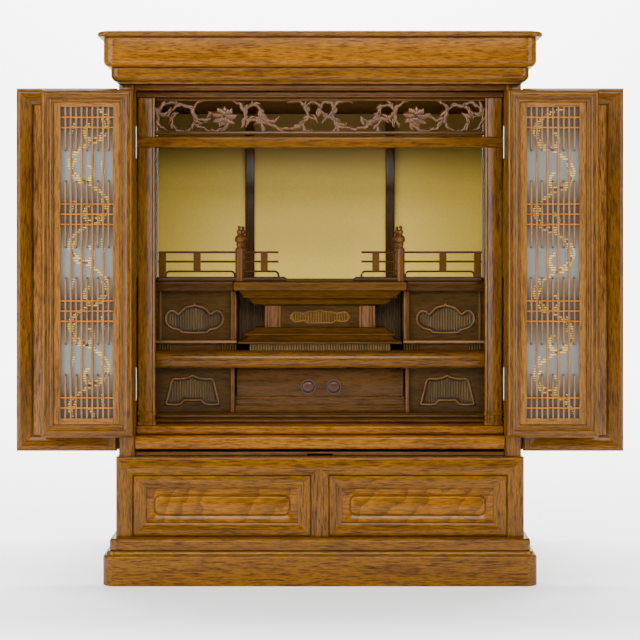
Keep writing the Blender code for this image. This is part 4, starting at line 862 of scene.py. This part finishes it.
# The lintel and the strips of the carved transom are plain rails. The openwork between them
# is carved from thin boards: stems wound in scrolls, curling leaves, and a peony each side.
carved = oak("carved_oak", "x", tone(78, 48, 18), tone(34, 20, 8), 0.5, shine=0.7)
low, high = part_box("carved_transom")
STRIP_LOW = 0.0035
STRIP_HIGH = 0.0032
FIELD_HALF = 0.1825
FIELD_HIGH = high.z - low.z - STRIP_LOW - STRIP_HIGH
field_low = low.z + STRIP_LOW
carving_y = FRONT + 0.0275
CURL_ALONG = 0.1847
STEM_THICK = 0.0017
BLADE_THICK = 0.0016
STEM_STEPS = 26
STEM_PAST = 0.0002
mount(plank("transom_strip_low", low, (high.x, high.y, low.z + STRIP_LOW), [shaded_oak_x]), "cabinet",
      "carved_oak", "carved_transom")
mount(plank("transom_strip_high", (low.x, low.y, high.z - STRIP_HIGH), high, [shaded_oak_x]), "cabinet",
      "carved_oak")
SCROLLS = ((0.04, 0.76, 0.26, 0.2, -60, 235), (0.06, 0.22, 0.26, 0.22, 170, -90),
           (0.15, 0.6, 0.44, 0.38, 50, 270), (0.205, 0.98, 0.92, 0.88, -10, -122),
           (0.3, 0.62, 0.3, 0.24, 200, 340), (0.402, 0.62, 0.28, 0.24, -40, 250),
           (0.395, 0.14, 0.3, 0.24, 0, 200), (0.54, 0.52, 0.48, 0.46, 95, 215),
           (0.65, 0.66, 0.66, 0.62, 205, 318), (0.712, 0.66, 0.36, 0.24, 95, -160),
           (0.842, 0.46, 0.4, 0.46, 15, 262), (0.845, 0.4, 0.22, 0.4, 70, -90),
           (0.905, 0.52, 0.5, 0.42, -80, 110), (0.955, 0.8, 0.26, 0.2, 180, 320))


def stem(groups, path, widths, thick, y):
    """A carved stem through (x, z) points: rounded in section, widest where its widths say."""
    rings = []
    for i, (x, z) in enumerate(path):
        ahead = path[min(i + 1, len(path) - 1)]
        behind = path[max(i - 1, 0)]
        length = math.hypot(ahead[0] - behind[0], ahead[1] - behind[1]) or 1.0
        across = (-(ahead[1] - behind[1]) / length, (ahead[0] - behind[0]) / length)
        half = widths[i] / 2
        ring = []
        for side, depth in ((-1.0, 0.2), (-0.72, -0.62), (-0.22, -0.98), (0.22, -0.98), (0.72, -0.62),
                            (1.0, 0.2), (0.8, 1.0), (-0.8, 1.0)):
            ring.append((x + across[0] * half * side, y + thick * depth, z + across[1] * half * side))
        rings.append(ring)
    groups.append((rings, 0))


def blade(groups, x, z, turn, length, width, y, curl):
    """A curling leaf: it leaves a point at an angle and bends as it goes."""
    path = []
    widths = []
    for i in range(8):
        share = i / 7
        path.append((x, z))
        widths.append(max(width * math.sin(math.pi * (0.16 + 0.8 * share)), 0.0003))
        heading = turn + curl * share
        x += math.cos(heading) * length / 7
        z += math.sin(heading) * length / 7
    stem(groups, path, widths, BLADE_THICK, y)


luck = random.Random(7)
groups = []
field_high = field_low + FIELD_HIGH
for side in (-1, 1):
    for along, up, first, last, start, end in SCROLLS:
        path = []
        widths = []
        for i in range(STEM_STEPS + 1):
            share = i / STEM_STEPS
            turn = math.radians(start + (end - start) * share)
            radius = first + (last - first) * share
            z = field_low + (up + radius * math.sin(turn)) * FIELD_HIGH
            path.append((side * (along + radius * CURL_ALONG * math.cos(turn)) * FIELD_HALF,
                         min(max(z, field_low - STEM_PAST), field_high + STEM_PAST)))
            widths.append(0.0015 + 0.0021 * abs(math.sin(math.pi * share)) ** 0.6)
        stem(groups, path, widths, STEM_THICK, carving_y)
        for i in range(2, STEM_STEPS, 3):
            x, z = path[i]
            heading = math.atan2(path[i + 1][1] - path[i - 1][1], path[i + 1][0] - path[i - 1][0])
            lean = 1 if (i % 2) else -1
            longest = luck.uniform(0.0078, 0.012)
            reach = min(longest, 0.005 + min(z - field_low, field_high - z) * 1.2)
            blade(groups, x, z, heading + lean * luck.uniform(0.3, 0.7), reach, luck.uniform(0.0032, 0.0048),
                  carving_y - 0.0005, -lean * luck.uniform(0.8, 1.9))
        blade(groups, *path[-1], heading + 0.5, 0.0042, 0.003, carving_y - 0.0008, 2.4)
PETALS = ((9, 0.0125, 0.0088, 0.0), (7, 0.0096, 0.0076, -0.0012), (5, 0.0066, 0.006, -0.0024),
          (3, 0.004, 0.0046, -0.0034))
for side in (-1, 1):
    flower_x = side * 0.583 * FIELD_HALF
    flower_z = field_low + 0.48 * FIELD_HIGH
    for ring, (count, reach, width, front) in enumerate(PETALS):
        for i in range(count):
            turn = math.radians(90 + 360 * (i + 0.5 * (ring % 2)) / count)
            blade(groups, flower_x + 0.0018 * math.cos(turn), flower_z + 0.0014 * math.sin(turn), turn - 0.25,
                  reach * (0.92 + 0.1 * math.cos(2 * turn)), width, carving_y + front, 0.5)
build("transom_carving", groups, [carved], slot="carved_oak", sharp=60)


# The fronts of the two lower boxes and of the two wings are thin boards with a shaped window.
# A raised rim runs round each window, and behind it stands a board worked into reeds.
CLOUD = ((0, 0.985), (0.055, 0.925), (0.16, 0.9), (0.3, 0.865), (0.42, 0.78), (0.53, 0.66), (0.63, 0.735),
         (0.76, 0.76), (0.9, 0.69), (0.985, 0.52), (0.97, 0.33), (0.84, 0.17), (0.66, 0.085), (0.52, 0.055),
         (0.44, -0.02), (0.38, -0.03))
BELL = ((0, 1), (0.1, 0.93), (0.28, 0.88), (0.46, 0.86), (0.6, 0.87), (0.72, 0.84), (0.8, 0.7),
        (0.86, 0.48), (1, 0), (0.43, 0), (0.36, 0.03), (0.27, 0.12), (0.12, 0.12))
CARTOUCHE = ((0, 1), (0.1, 0.95), (0.24, 0.9), (0.4, 0.9), (0.55, 0.8), (0.7, 0.86), (0.84, 0.86),
             (0.95, 0.72), (1, 0.48), (0.95, 0.24), (0.8, 0.11), (0.66, 0.12), (0.54, 0.17), (0.42, 0.04),
             (0.2, 0.02))
RIM = 0.001
RIM_SET = 1.8
REED = 0.00295
THICK = 0.012
PARTITION = 0.006
BEHIND = 0.0004
SHADY_DARK = tone(36, 23, 10)
window_x = oak("window_oak_across", "x", tone(54, 38, 16), SHADY_DARK, 0.6, shine=0.08)
rim_oak = oak("rim_oak", "x", tone(98, 64, 18), SHADY_DARK, 0.4)
reed_oak = oak("reed_oak", "z", tone(84, 63, 28), SHADY_DARK, 0.4, shine=0.08)
# Near-black painted shade, behind the reeds and in the groove round each rim.
painted_reed_and_rim_shade = plain("painted_shade_reeds_rim", tone(22, 15, 8), 0.7)
# Painted sheen: a lighter oak for the wing ledges.
sheen_x = oak("ledge_oak_painted_sheen", "x", tone(112, 78, 44), SHADY_DARK, 0.4)
# Painted shade: a darker oak for the wing tops, which lie in shadow.
shaded_wing_top_x = oak("wing_top_oak_painted_shade", "x", tone(54, 33, 10), SHADY_DARK, 0.6, shine=0.1)


def outline(half, middle, width, z, height):
    """A whole window outline, mirrored from its half and drawn with smooth curves."""
    share = list(half) + [(-across, up) for across, up in reversed(half) if across > 0]
    points = [(middle + across * width / 2, z + up * height) for across, up in share]
    count = len(points)
    ways = []
    for i in range(count):
        before, here, after = (Vector(points[(i + k) % count]) for k in (-1, 0, 1))
        one, two = (here - before).normalized(), (after - here).normalized()
        ways.append((one + two).normalized() if one.dot(two) > 0.55 else None)
    curve = []
    for i in range(count):
        here, after = Vector(points[i]), Vector(points[(i + 1) % count])
        chord = after - here
        leave = ways[i] * chord.length if ways[i] else chord
        arrive = ways[(i + 1) % count] * chord.length if ways[(i + 1) % count] else chord
        for k in range(4):
            t = k / 4
            curve.append((2 * t ** 3 - 3 * t ** 2 + 1) * here + (t ** 3 - 2 * t ** 2 + t) * leave
                         + (3 * t ** 2 - 2 * t ** 3) * after + (t ** 3 - t ** 2) * arrive)
    return curve


def widened(points, distance):
    """A closed outline moved outward all round."""
    moved = []
    for i, here in enumerate(points):
        before, after = points[i - 1], points[(i + 1) % len(points)]
        one, two = (here - before).normalized(), (after - here).normalized()
        way = (one + two).normalized()
        reach = distance / max(way.dot(one), 0.6)
        moved.append(here + Vector((-way.y, way.x)) * reach)
    return moved


def pierced(name, edges, hole, y_front, y_back, materials):
    """A flat board with a shaped hole right through it."""
    x0, x1, z0, z1 = edges
    curve = bpy.data.curves.new(name, "CURVE")
    curve.dimensions = "2D"
    curve.fill_mode = "BOTH"
    curve.extrude = (y_back - y_front) / 2
    for points in ([(x0, z0), (x1, z0), (x1, z1), (x0, z1)], hole):
        spline = curve.splines.new("POLY")
        spline.points.add(len(points) - 1)
        spline.use_cyclic_u = True
        for knot, (x, z) in zip(spline.points, points):
            knot.co = (x, z, 0.0, 1.0)
    holder = bpy.data.objects.new(name, curve)
    mesh = bpy.data.meshes.new_from_object(holder)
    shape = bmesh.new()
    shape.from_mesh(mesh)
    bpy.data.objects.remove(holder)
    bpy.data.curves.remove(curve)
    bpy.data.meshes.remove(mesh)
    for corner in shape.verts:
        x, z, depth = corner.co
        corner.co = (x, (y_front + y_back) / 2 + depth, z)
    bmesh.ops.remove_doubles(shape, verts=shape.verts, dist=0.000005)
    bmesh.ops.recalc_face_normals(shape, faces=shape.faces)
    return finished(name, shape, materials)


def raised_rim(name, points, y, radius, materials):
    """A round bead that follows a closed outline."""
    rings = []
    for i, here in enumerate(points):
        before, after = points[i - 1], points[(i + 1) % len(points)]
        way = (after - before).normalized()
        ring = []
        for k in range(8):
            turn = math.radians(45 * k)
            across = Vector((-way.y, way.x)) * radius * math.cos(turn)
            ring.append((here.x + across.x, y - radius * math.sin(turn), here.y + across.y))
        rings.append(ring)
    return loft(name, [(rings, 0)], materials, wrap=True, sharp=70)


def block(groups, index, xs, ys, zs):
    """Add a plain block between two values on each axis."""
    x0, x1 = sorted(xs)
    bar(groups, index, [(x0, ys[0]), (x1, ys[0]), (x1, ys[1]), (x0, ys[1])], "z", zs)


def reeds(groups, index, one, two, z0, z1, y, back, pitch=REED):
    """Upright half-round reeds side by side over a stretch of board."""
    x0, x1 = sorted((one, two))
    count = max(round((x1 - x0) / pitch), 1)
    pitch = (x1 - x0) / count
    half = pitch * 0.34
    for i in range(count):
        middle = x0 + pitch * (i + 0.5)
        section = [(middle - half, y + 0.0003)]
        for k in range(7):
            turn = math.radians(30 * k)
            section.append((middle - half * math.cos(turn), y - 0.0013 * math.sin(turn)))
        section.append((middle + half, y + 0.0003))
        bar(groups, index, section, "z", (z0, z1))
    # The board behind the reeds is near-black: painted shade between the reeds.
    block(groups, 2, (x0, x1), (y, back), (z0, z1))


def window(name, edges, hole, y, thick, node, rim=RIM):
    """A board with a window in it: the pierced board, the rim and the reeds behind."""
    mount(pierced(name + "_face", edges, hole, y, y + thick / 2, [window_x]), "cabinet", "dark_oak", node)
    bead = widened(hole, -RIM_SET * rim)
    mount(raised_rim(name + "_rim", bead, y + 0.0003, rim, [rim_oak]), "cabinet", "dark_oak")
    # A near-black ring in the groove behind the rim: painted shade.
    mount(raised_rim(name + "_groove", bead, y + 2.9 * rim, 2.5 * rim, [painted_reed_and_rim_shade]), "cabinet", "dark_oak")
    groups = []
    across = [point.x for point in hole]
    reeds(groups, 0, min(across) - 0.004, max(across) + 0.004, edges[2] + 0.001, edges[3] - 0.001,
          y + thick / 2 + BEHIND, y + thick)
    build(name + "_reeds", groups, [reed_oak, shaded_oak_x, painted_reed_and_rim_shade], sharp=50)


def pilaster(groups, index, one, two, z0, z1, y, out):
    """An upright post with a rounded front, between two values of x."""
    x0, x1 = sorted((one, two))
    section = [(x0, y)]
    for k in range(9):
        turn = math.radians(22.5 * k)
        section.append(((x0 + x1) / 2 - (x1 - x0) / 2 * math.cos(turn),
                        y - out + out * 0.62 * (1 - math.sin(turn))))
    section.append((x1, y))
    bar(groups, index, section, "z", (z0, z1))


for way, side in SIDES:
    node = "lower_front_" + side
    low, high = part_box(node)
    front = low.y + 0.004
    hole = outline(BELL, way * 0.1438, 0.0648, low.z + 0.0072, 0.0372)
    window(node, (low.x, high.x, low.z, high.z), hole, front, THICK, node)
    groups = []
    inner = high.x if way < 0 else low.x
    pilaster(groups, 0, inner, inner + way * 0.0054, low.z, high.z, front, 0.004)
    if high.y > front + THICK + 0.001:
        block(groups, 0, (inner, inner + way * PARTITION), (front + THICK, high.y), (low.z, high.z))
    build(node + "_post", groups, [shaded_oak_z], sharp=40)

WING_OUTER = 0.1825
for way, side in SIDES:
    node = "wing_front_" + side
    low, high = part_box(node)
    front = low.y + 0.0075
    ledge = low.z + 0.008
    foot = ledge + 0.003
    hole = outline(CLOUD, way * 0.14225, 0.0693, low.z + 0.0192, 0.0356)
    window(node, (low.x, high.x, ledge, high.z), hole, front, THICK, node)
    inner = high.x if way < 0 else low.x
    outer = way * WING_OUTER
    groups = []
    pilaster(groups, 0, inner, inner + way * 0.0075, foot, high.z, front, 0.004)
    block(groups, 0, (inner, inner + way * PARTITION), (front + THICK, high.y), (low.z, high.z))
    pilaster(groups, 0, outer, outer - way * 0.003, foot, high.z, front, 0.001)
    build(node + "_posts", groups, [shaded_oak_z], sharp=40)
    section = [(front + 0.006, ledge), (low.y + 0.0008, ledge), (low.y + 0.0002, ledge + 0.0006),
               (low.y, ledge + 0.0016), (low.y + 0.0003, ledge + 0.0025), (low.y + 0.0012, foot),
               (front + 0.006, ledge + 0.0032)]
    groups = []
    bar(groups, 0, section, "x", (low.x, high.x))
    build(node + "_ledge", groups, [sheen_x], sharp=60)
    groups = []
    block(groups, 1, (low.x, high.x), (front + BEHIND, front + THICK), (low.z, ledge))
    for edge, end in ((outer, outer - way * 0.0145), (inner, inner + way * 0.0175)):
        reeds(groups, 0, edge, end, low.z, ledge, front + BEHIND, front + 0.004)
    build(node + "_strip", groups, [reed_oak, shaded_oak_x, painted_reed_and_rim_shade], sharp=50)
    board("wing_top_" + side, shaded_wing_top_x, "dark_oak", width=0.0014)


# The altar table is built up of moulded boards round a waist: a thick top, two mouldings
# under it, the waist with a cartouche window, and a stepped foot on a reeded plinth.
low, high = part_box("altar_table")
deck = high.z
TABLE_STEPS = ((0, 0.003, 0.003), (0.0005, 0.0012, 0.0012), (0.0016, 0.0002, 0.0002), (0.0032, 0, 0),
               (0.008, 0, 0), (0.0094, 0.0003, 0.0003), (0.0103, 0.0012, 0.0012), (0.0106, 0.003, 0.003),
               (0.0108, 0.0058, 0.005), (0.0166, 0.0114, 0.0104), (0.0167, 0.0102, 0.0094),
               (0.0172, 0.0098, 0.009), (0.0178, 0.0098, 0.009), (0.0184, 0.0104, 0.0096),
               (0.0185, 0.0175, 0.016), (0.0204, 0.0175, 0.016), (0.0206, 0.0165, 0.015),
               (0.0262, 0.0226, 0.02), (0.0268, 0.03, 0.023), (0.0282, 0.0345, 0.0262),
               (0.0525, 0.0345, 0.0262), (0.0528, 0.0236, 0.0194), (0.0556, 0.0205, 0.016),
               (0.0588, 0.015, 0.011), (0.059, 0.0134, 0.0104), (0.0597, 0.0128, 0.0098),
               (0.0606, 0.0128, 0.0098),
               (0.0613, 0.0134, 0.0104), (0.0616, 0.0164, 0.0122), (0.064, 0.0146, 0.0104),
               (0.0674, 0.0082, 0.0046), (0.0678, 0.0056, 0.0014), (0.0684, 0.005, 0.0009),
               (0.0694, 0.005, 0.0009), (0.0701, 0.0056, 0.0014), (0.0702, 0.0175, 0.01),
               (0.078, 0.0175, 0.01))
TABLE_BACK = 0.1155
CORE_HALF = 0.0936
CORE_DROP = 0.012
WAIST_HALF = 0.0445
table_front = FRONT + 0.05
table_x = oak("table_oak", "x", tone(68, 43, 10), tone(36, 22, 6), 0.6, shine=0.15)
table_z = oak("table_oak_up", "z", tone(90, 58, 22), tone(44, 27, 8), 0.4)
pink_oak = oak("pilaster_oak", "z", tone(98, 66, 44), tone(66, 42, 26), 0.6, shine=0.12)
foot_reed = oak("foot_reed_oak", "z", tone(106, 78, 26), tone(56, 40, 14), 0.4)
rings = []
for drop, inset, back in TABLE_STEPS:
    half, near, far, z = high.x - inset, table_front + back, high.y - inset, deck - drop
    rings.append([(-half, near, z), (half, near, z), (half, far, z), (-half, far, z)])
build("altar_table_mouldings", [(rings, 0)], [table_x], "altar_table", sharp=28)
waist_low, waist_high = deck - 0.0525, deck - 0.0282
waist_y = table_front + 0.025
hole = outline(CARTOUCHE, 0.0, 0.0688, waist_low + 0.0032, 0.0174)
window("altar_table_waist", (-WAIST_HALF, WAIST_HALF, waist_low, waist_high), hole, waist_y + 0.0005,
       0.0024, "altar_table", 0.0008)
groups = []
for way in (-1, 1):
    for inner, outer, out, index in ((WAIST_HALF, 0.0474, 0.0024, 0), (0.0474, 0.0568, 0.0006, 1),
                                     (0.0568, 0.0596, 0.0024, 0), (0.0596, 0.0625, 0.001, 1)):
        pilaster(groups, index, way * inner, way * outer, waist_low, waist_high, waist_y + 0.0012, out)
build("altar_table_pilasters", groups, [table_z, pink_oak], sharp=40)
groups = []
reeds(groups, 0, -0.0795, 0.0795, low.z, deck - 0.0703, table_front + 0.0096, table_front + 0.011)
for way in (-1, 1):
    reeds(groups, 1, way * 0.06, way * CORE_HALF, low.z, deck - CORE_DROP, FRONT + 0.11, FRONT + 0.116,
          0.0027)
build("altar_table_reeds", groups, [foot_reed, reed_oak, painted_reed_and_rim_shade], sharp=50)
groups = []
block(groups, 0, (-CORE_HALF, CORE_HALF), (FRONT + TABLE_BACK, high.y), (low.z, deck - CORE_DROP))
build("altar_table_core", groups, [shaded_oak_x])


# The small drawer under the shelf is a plain box with two turned wooden knobs, each set in
# a dark ring.
drawer_shade = oak("drawer_oak", "x", tone(66, 43, 18), tone(38, 24, 10), 0.6, shine=0.12)
knob_red = oak("knob_oak", "x", tone(66, 42, 30), tone(40, 24, 18), 0.5)
low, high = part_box("inner_drawer")
face_y = low.y + 0.003
face_back = face_y + 0.009
boards = [((low.x, face_y, low.z), (high.x, face_back, high.z))]
boards += drawer_boards(low, high, face_back, 0.005, 0.003, (0.001, 0.004))
for part, corners in zip(("face", "side_left", "side_right", "back", "bottom"), boards):
    piece = plank("inner_drawer_" + part, *corners, [drawer_shade], 0.0007)
    mount(piece, "inner_drawer", "dark_oak", "inner_drawer")
KNOB = ((0.0002, -0.003), (0.0034, -0.003), (0.0058, -0.0027), (0.0067, -0.0018), (0.007, -0.0008),
        (0.007, 0.0004))
RING = ((0.0084, 0.0004), (0.0084, -0.0003), (0.0072, -0.0003), (0.007, 0.0004))
for way, side in SIDES:
    middle = (way * 0.0144 + 0.0012, (low.z + high.z) / 2 - 0.0047)
    for part, profile, material in (("knob", KNOB, knob_red), ("ring", RING, slat_end_shadow_and_knob_ring)):
        groups = []
        turned(groups, "y", middle, [(radius, face_y + y) for radius, y in profile], 36)
        build("inner_drawer_%s_%s" % (part, side), groups, [material], body="inner_drawer", sharp=50)


# The railings stand on the wings and turn in over the table: a ledge, three thin rails, flat
# posts between them, and a turned newel at each corner with a second one behind it.
rail_dark = oak("rail_oak", "x", tone(50, 30, 9), tone(30, 18, 6), 0.4, shine=0.08)
post_brown = oak("post_oak", "z", tone(68, 42, 14), tone(56, 34, 10), 0.5)
newel_brown = oak("newel_oak", "z", tone(76, 46, 16), tone(56, 34, 10), 0.4)
RAIL = 0.0011
LEVELS = (0.0324, 0.0219, 0.0108)
NEWEL = ((0.0, 1.0), (0.28, 0.985), (0.42, 0.945), (0.42, 0.915), (0.28, 0.875), (0.4, 0.85), (0.6, 0.79),
         (0.66, 0.71), (0.56, 0.665), (0.44, 0.65), (0.52, 0.61), (0.96, 0.55), (1.09, 0.46), (1.09, 0.4),
         (0.92, 0.33), (0.6, 0.3), (0.78, 0.26), (0.78, 0.22), (0.6, 0.19), (0.64, 0.11), (0.98, 0.06),
         (1.0, 0.0))
RAILING_BACK = 0.061
RAILING_DEEP = 0.096
NEWEL_AWAY = 0.091
NEWEL_RADIUS = 0.0045
NEWEL_HIGH = 0.0275
NEWEL_FOOT = 0.0347
POST_HALF = 0.004
POST_THICK = 0.0015
LEDGE_HIGH = 0.0047
LEDGE_HALF = 0.003


def rod(groups, path, radius, index=0):
    """A thin round rod along a path of points."""
    rings = []
    for i, point in enumerate(path):
        ahead = Vector(path[min(i + 1, len(path) - 1)]) - Vector(path[max(i - 1, 0)])
        ahead.normalize()
        level = Vector((0.0, 0.0, 1.0)) if abs(ahead.z) < 0.9 else Vector((1.0, 0.0, 0.0))
        across = ahead.cross(level).normalized()
        upward = across.cross(ahead)
        rings.append([tuple(Vector(point) + across * radius * math.cos(math.radians(45 * k))
                            + upward * radius * math.sin(math.radians(45 * k))) for k in range(8)])
    groups.append((rings, index))


for way, side in SIDES:
    low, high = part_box("railing_" + side)
    foot = low.z
    y = FRONT + RAILING_BACK
    rear = y + RAILING_DEEP
    newel_x = way * NEWEL_AWAY
    far_x = high.x if way > 0 else low.x
    ledge_top = foot + LEDGE_HIGH
    section = [(y - LEDGE_HALF, foot), (y - LEDGE_HALF, foot + 0.0034), (y - 0.0026, foot + 0.0043),
               (y - 0.0017, ledge_top), (y + 0.0017, ledge_top), (y + 0.0026, foot + 0.0043),
               (y + LEDGE_HALF, foot + 0.0034), (y + LEDGE_HALF, foot)]
    rings = []
    for along, drop in ((0.0, 0.0044), (0.0006, 0.0024), (0.0018, 0.001), (0.0036, 0.0001), (0.0046, 0.0)):
        rings.append([(way * (0.0369 + along), py, max(pz - drop, foot)) for py, pz in section])
    rings.append([(far_x, py, pz) for py, pz in section])
    groups = [(rings, 0)]
    section = [(newel_x - LEDGE_HALF, foot), (newel_x - LEDGE_HALF, foot + 0.0036),
               (newel_x - 0.0018, ledge_top), (newel_x + 0.0018, ledge_top),
               (newel_x + LEDGE_HALF, foot + 0.0036), (newel_x + LEDGE_HALF, foot)]
    bar(groups, 0, section, "y", (y, rear))
    for level in LEVELS[:2]:
        z = foot + level
        rod(groups, [(far_x, y, z), (way * 0.0467, y, z)], RAIL)
        rod(groups, [(newel_x, y, z), (newel_x, rear, z)], RAIL)
    z = foot + LEVELS[2]
    bend = [(0.0, ledge_top - z), (0.0003, -0.0032), (0.0012, -0.0014), (0.0028, -0.0003), (0.0046, 0.0)]
    start = [(far_x - way * (0.0085 + along), y, z + drop) for along, drop in bend]
    stop = [(newel_x + way * (0.005 + along), y, z + drop) for along, drop in bend]
    rod(groups, start + stop[::-1], RAIL)
    stop = [(way * (0.0467 + along), y, z + drop) for along, drop in bend]
    rod(groups, [(newel_x, y, z)] + stop[::-1], RAIL)
    rod(groups, [(newel_x, y, z), (newel_x, rear, z)], RAIL)
    for middle in (far_x - way * 0.0048, way * 0.1386, way * 0.0629):
        bottom = ledge_top - 0.0002 if abs(middle) > 0.15 else z
        block(groups, 1, (middle - POST_HALF, middle + POST_HALF), (y - POST_THICK, y + POST_THICK),
              (bottom, foot + LEVELS[0]))
    build("railing_%s_rails" % side, groups, [rail_dark, post_brown], "railing_" + side, sharp=50)
    groups = []
    for post_y in (y, rear):
        profile = [(max(NEWEL_RADIUS * width, 0.0001), foot + NEWEL_FOOT + NEWEL_HIGH * up)
                   for width, up in NEWEL]
        profile.append((profile[-1][0], foot))
        turned(groups, "z", (newel_x, post_y), profile, 24)
    build("railing_%s_newels" % side, groups, [newel_brown], sharp=45)
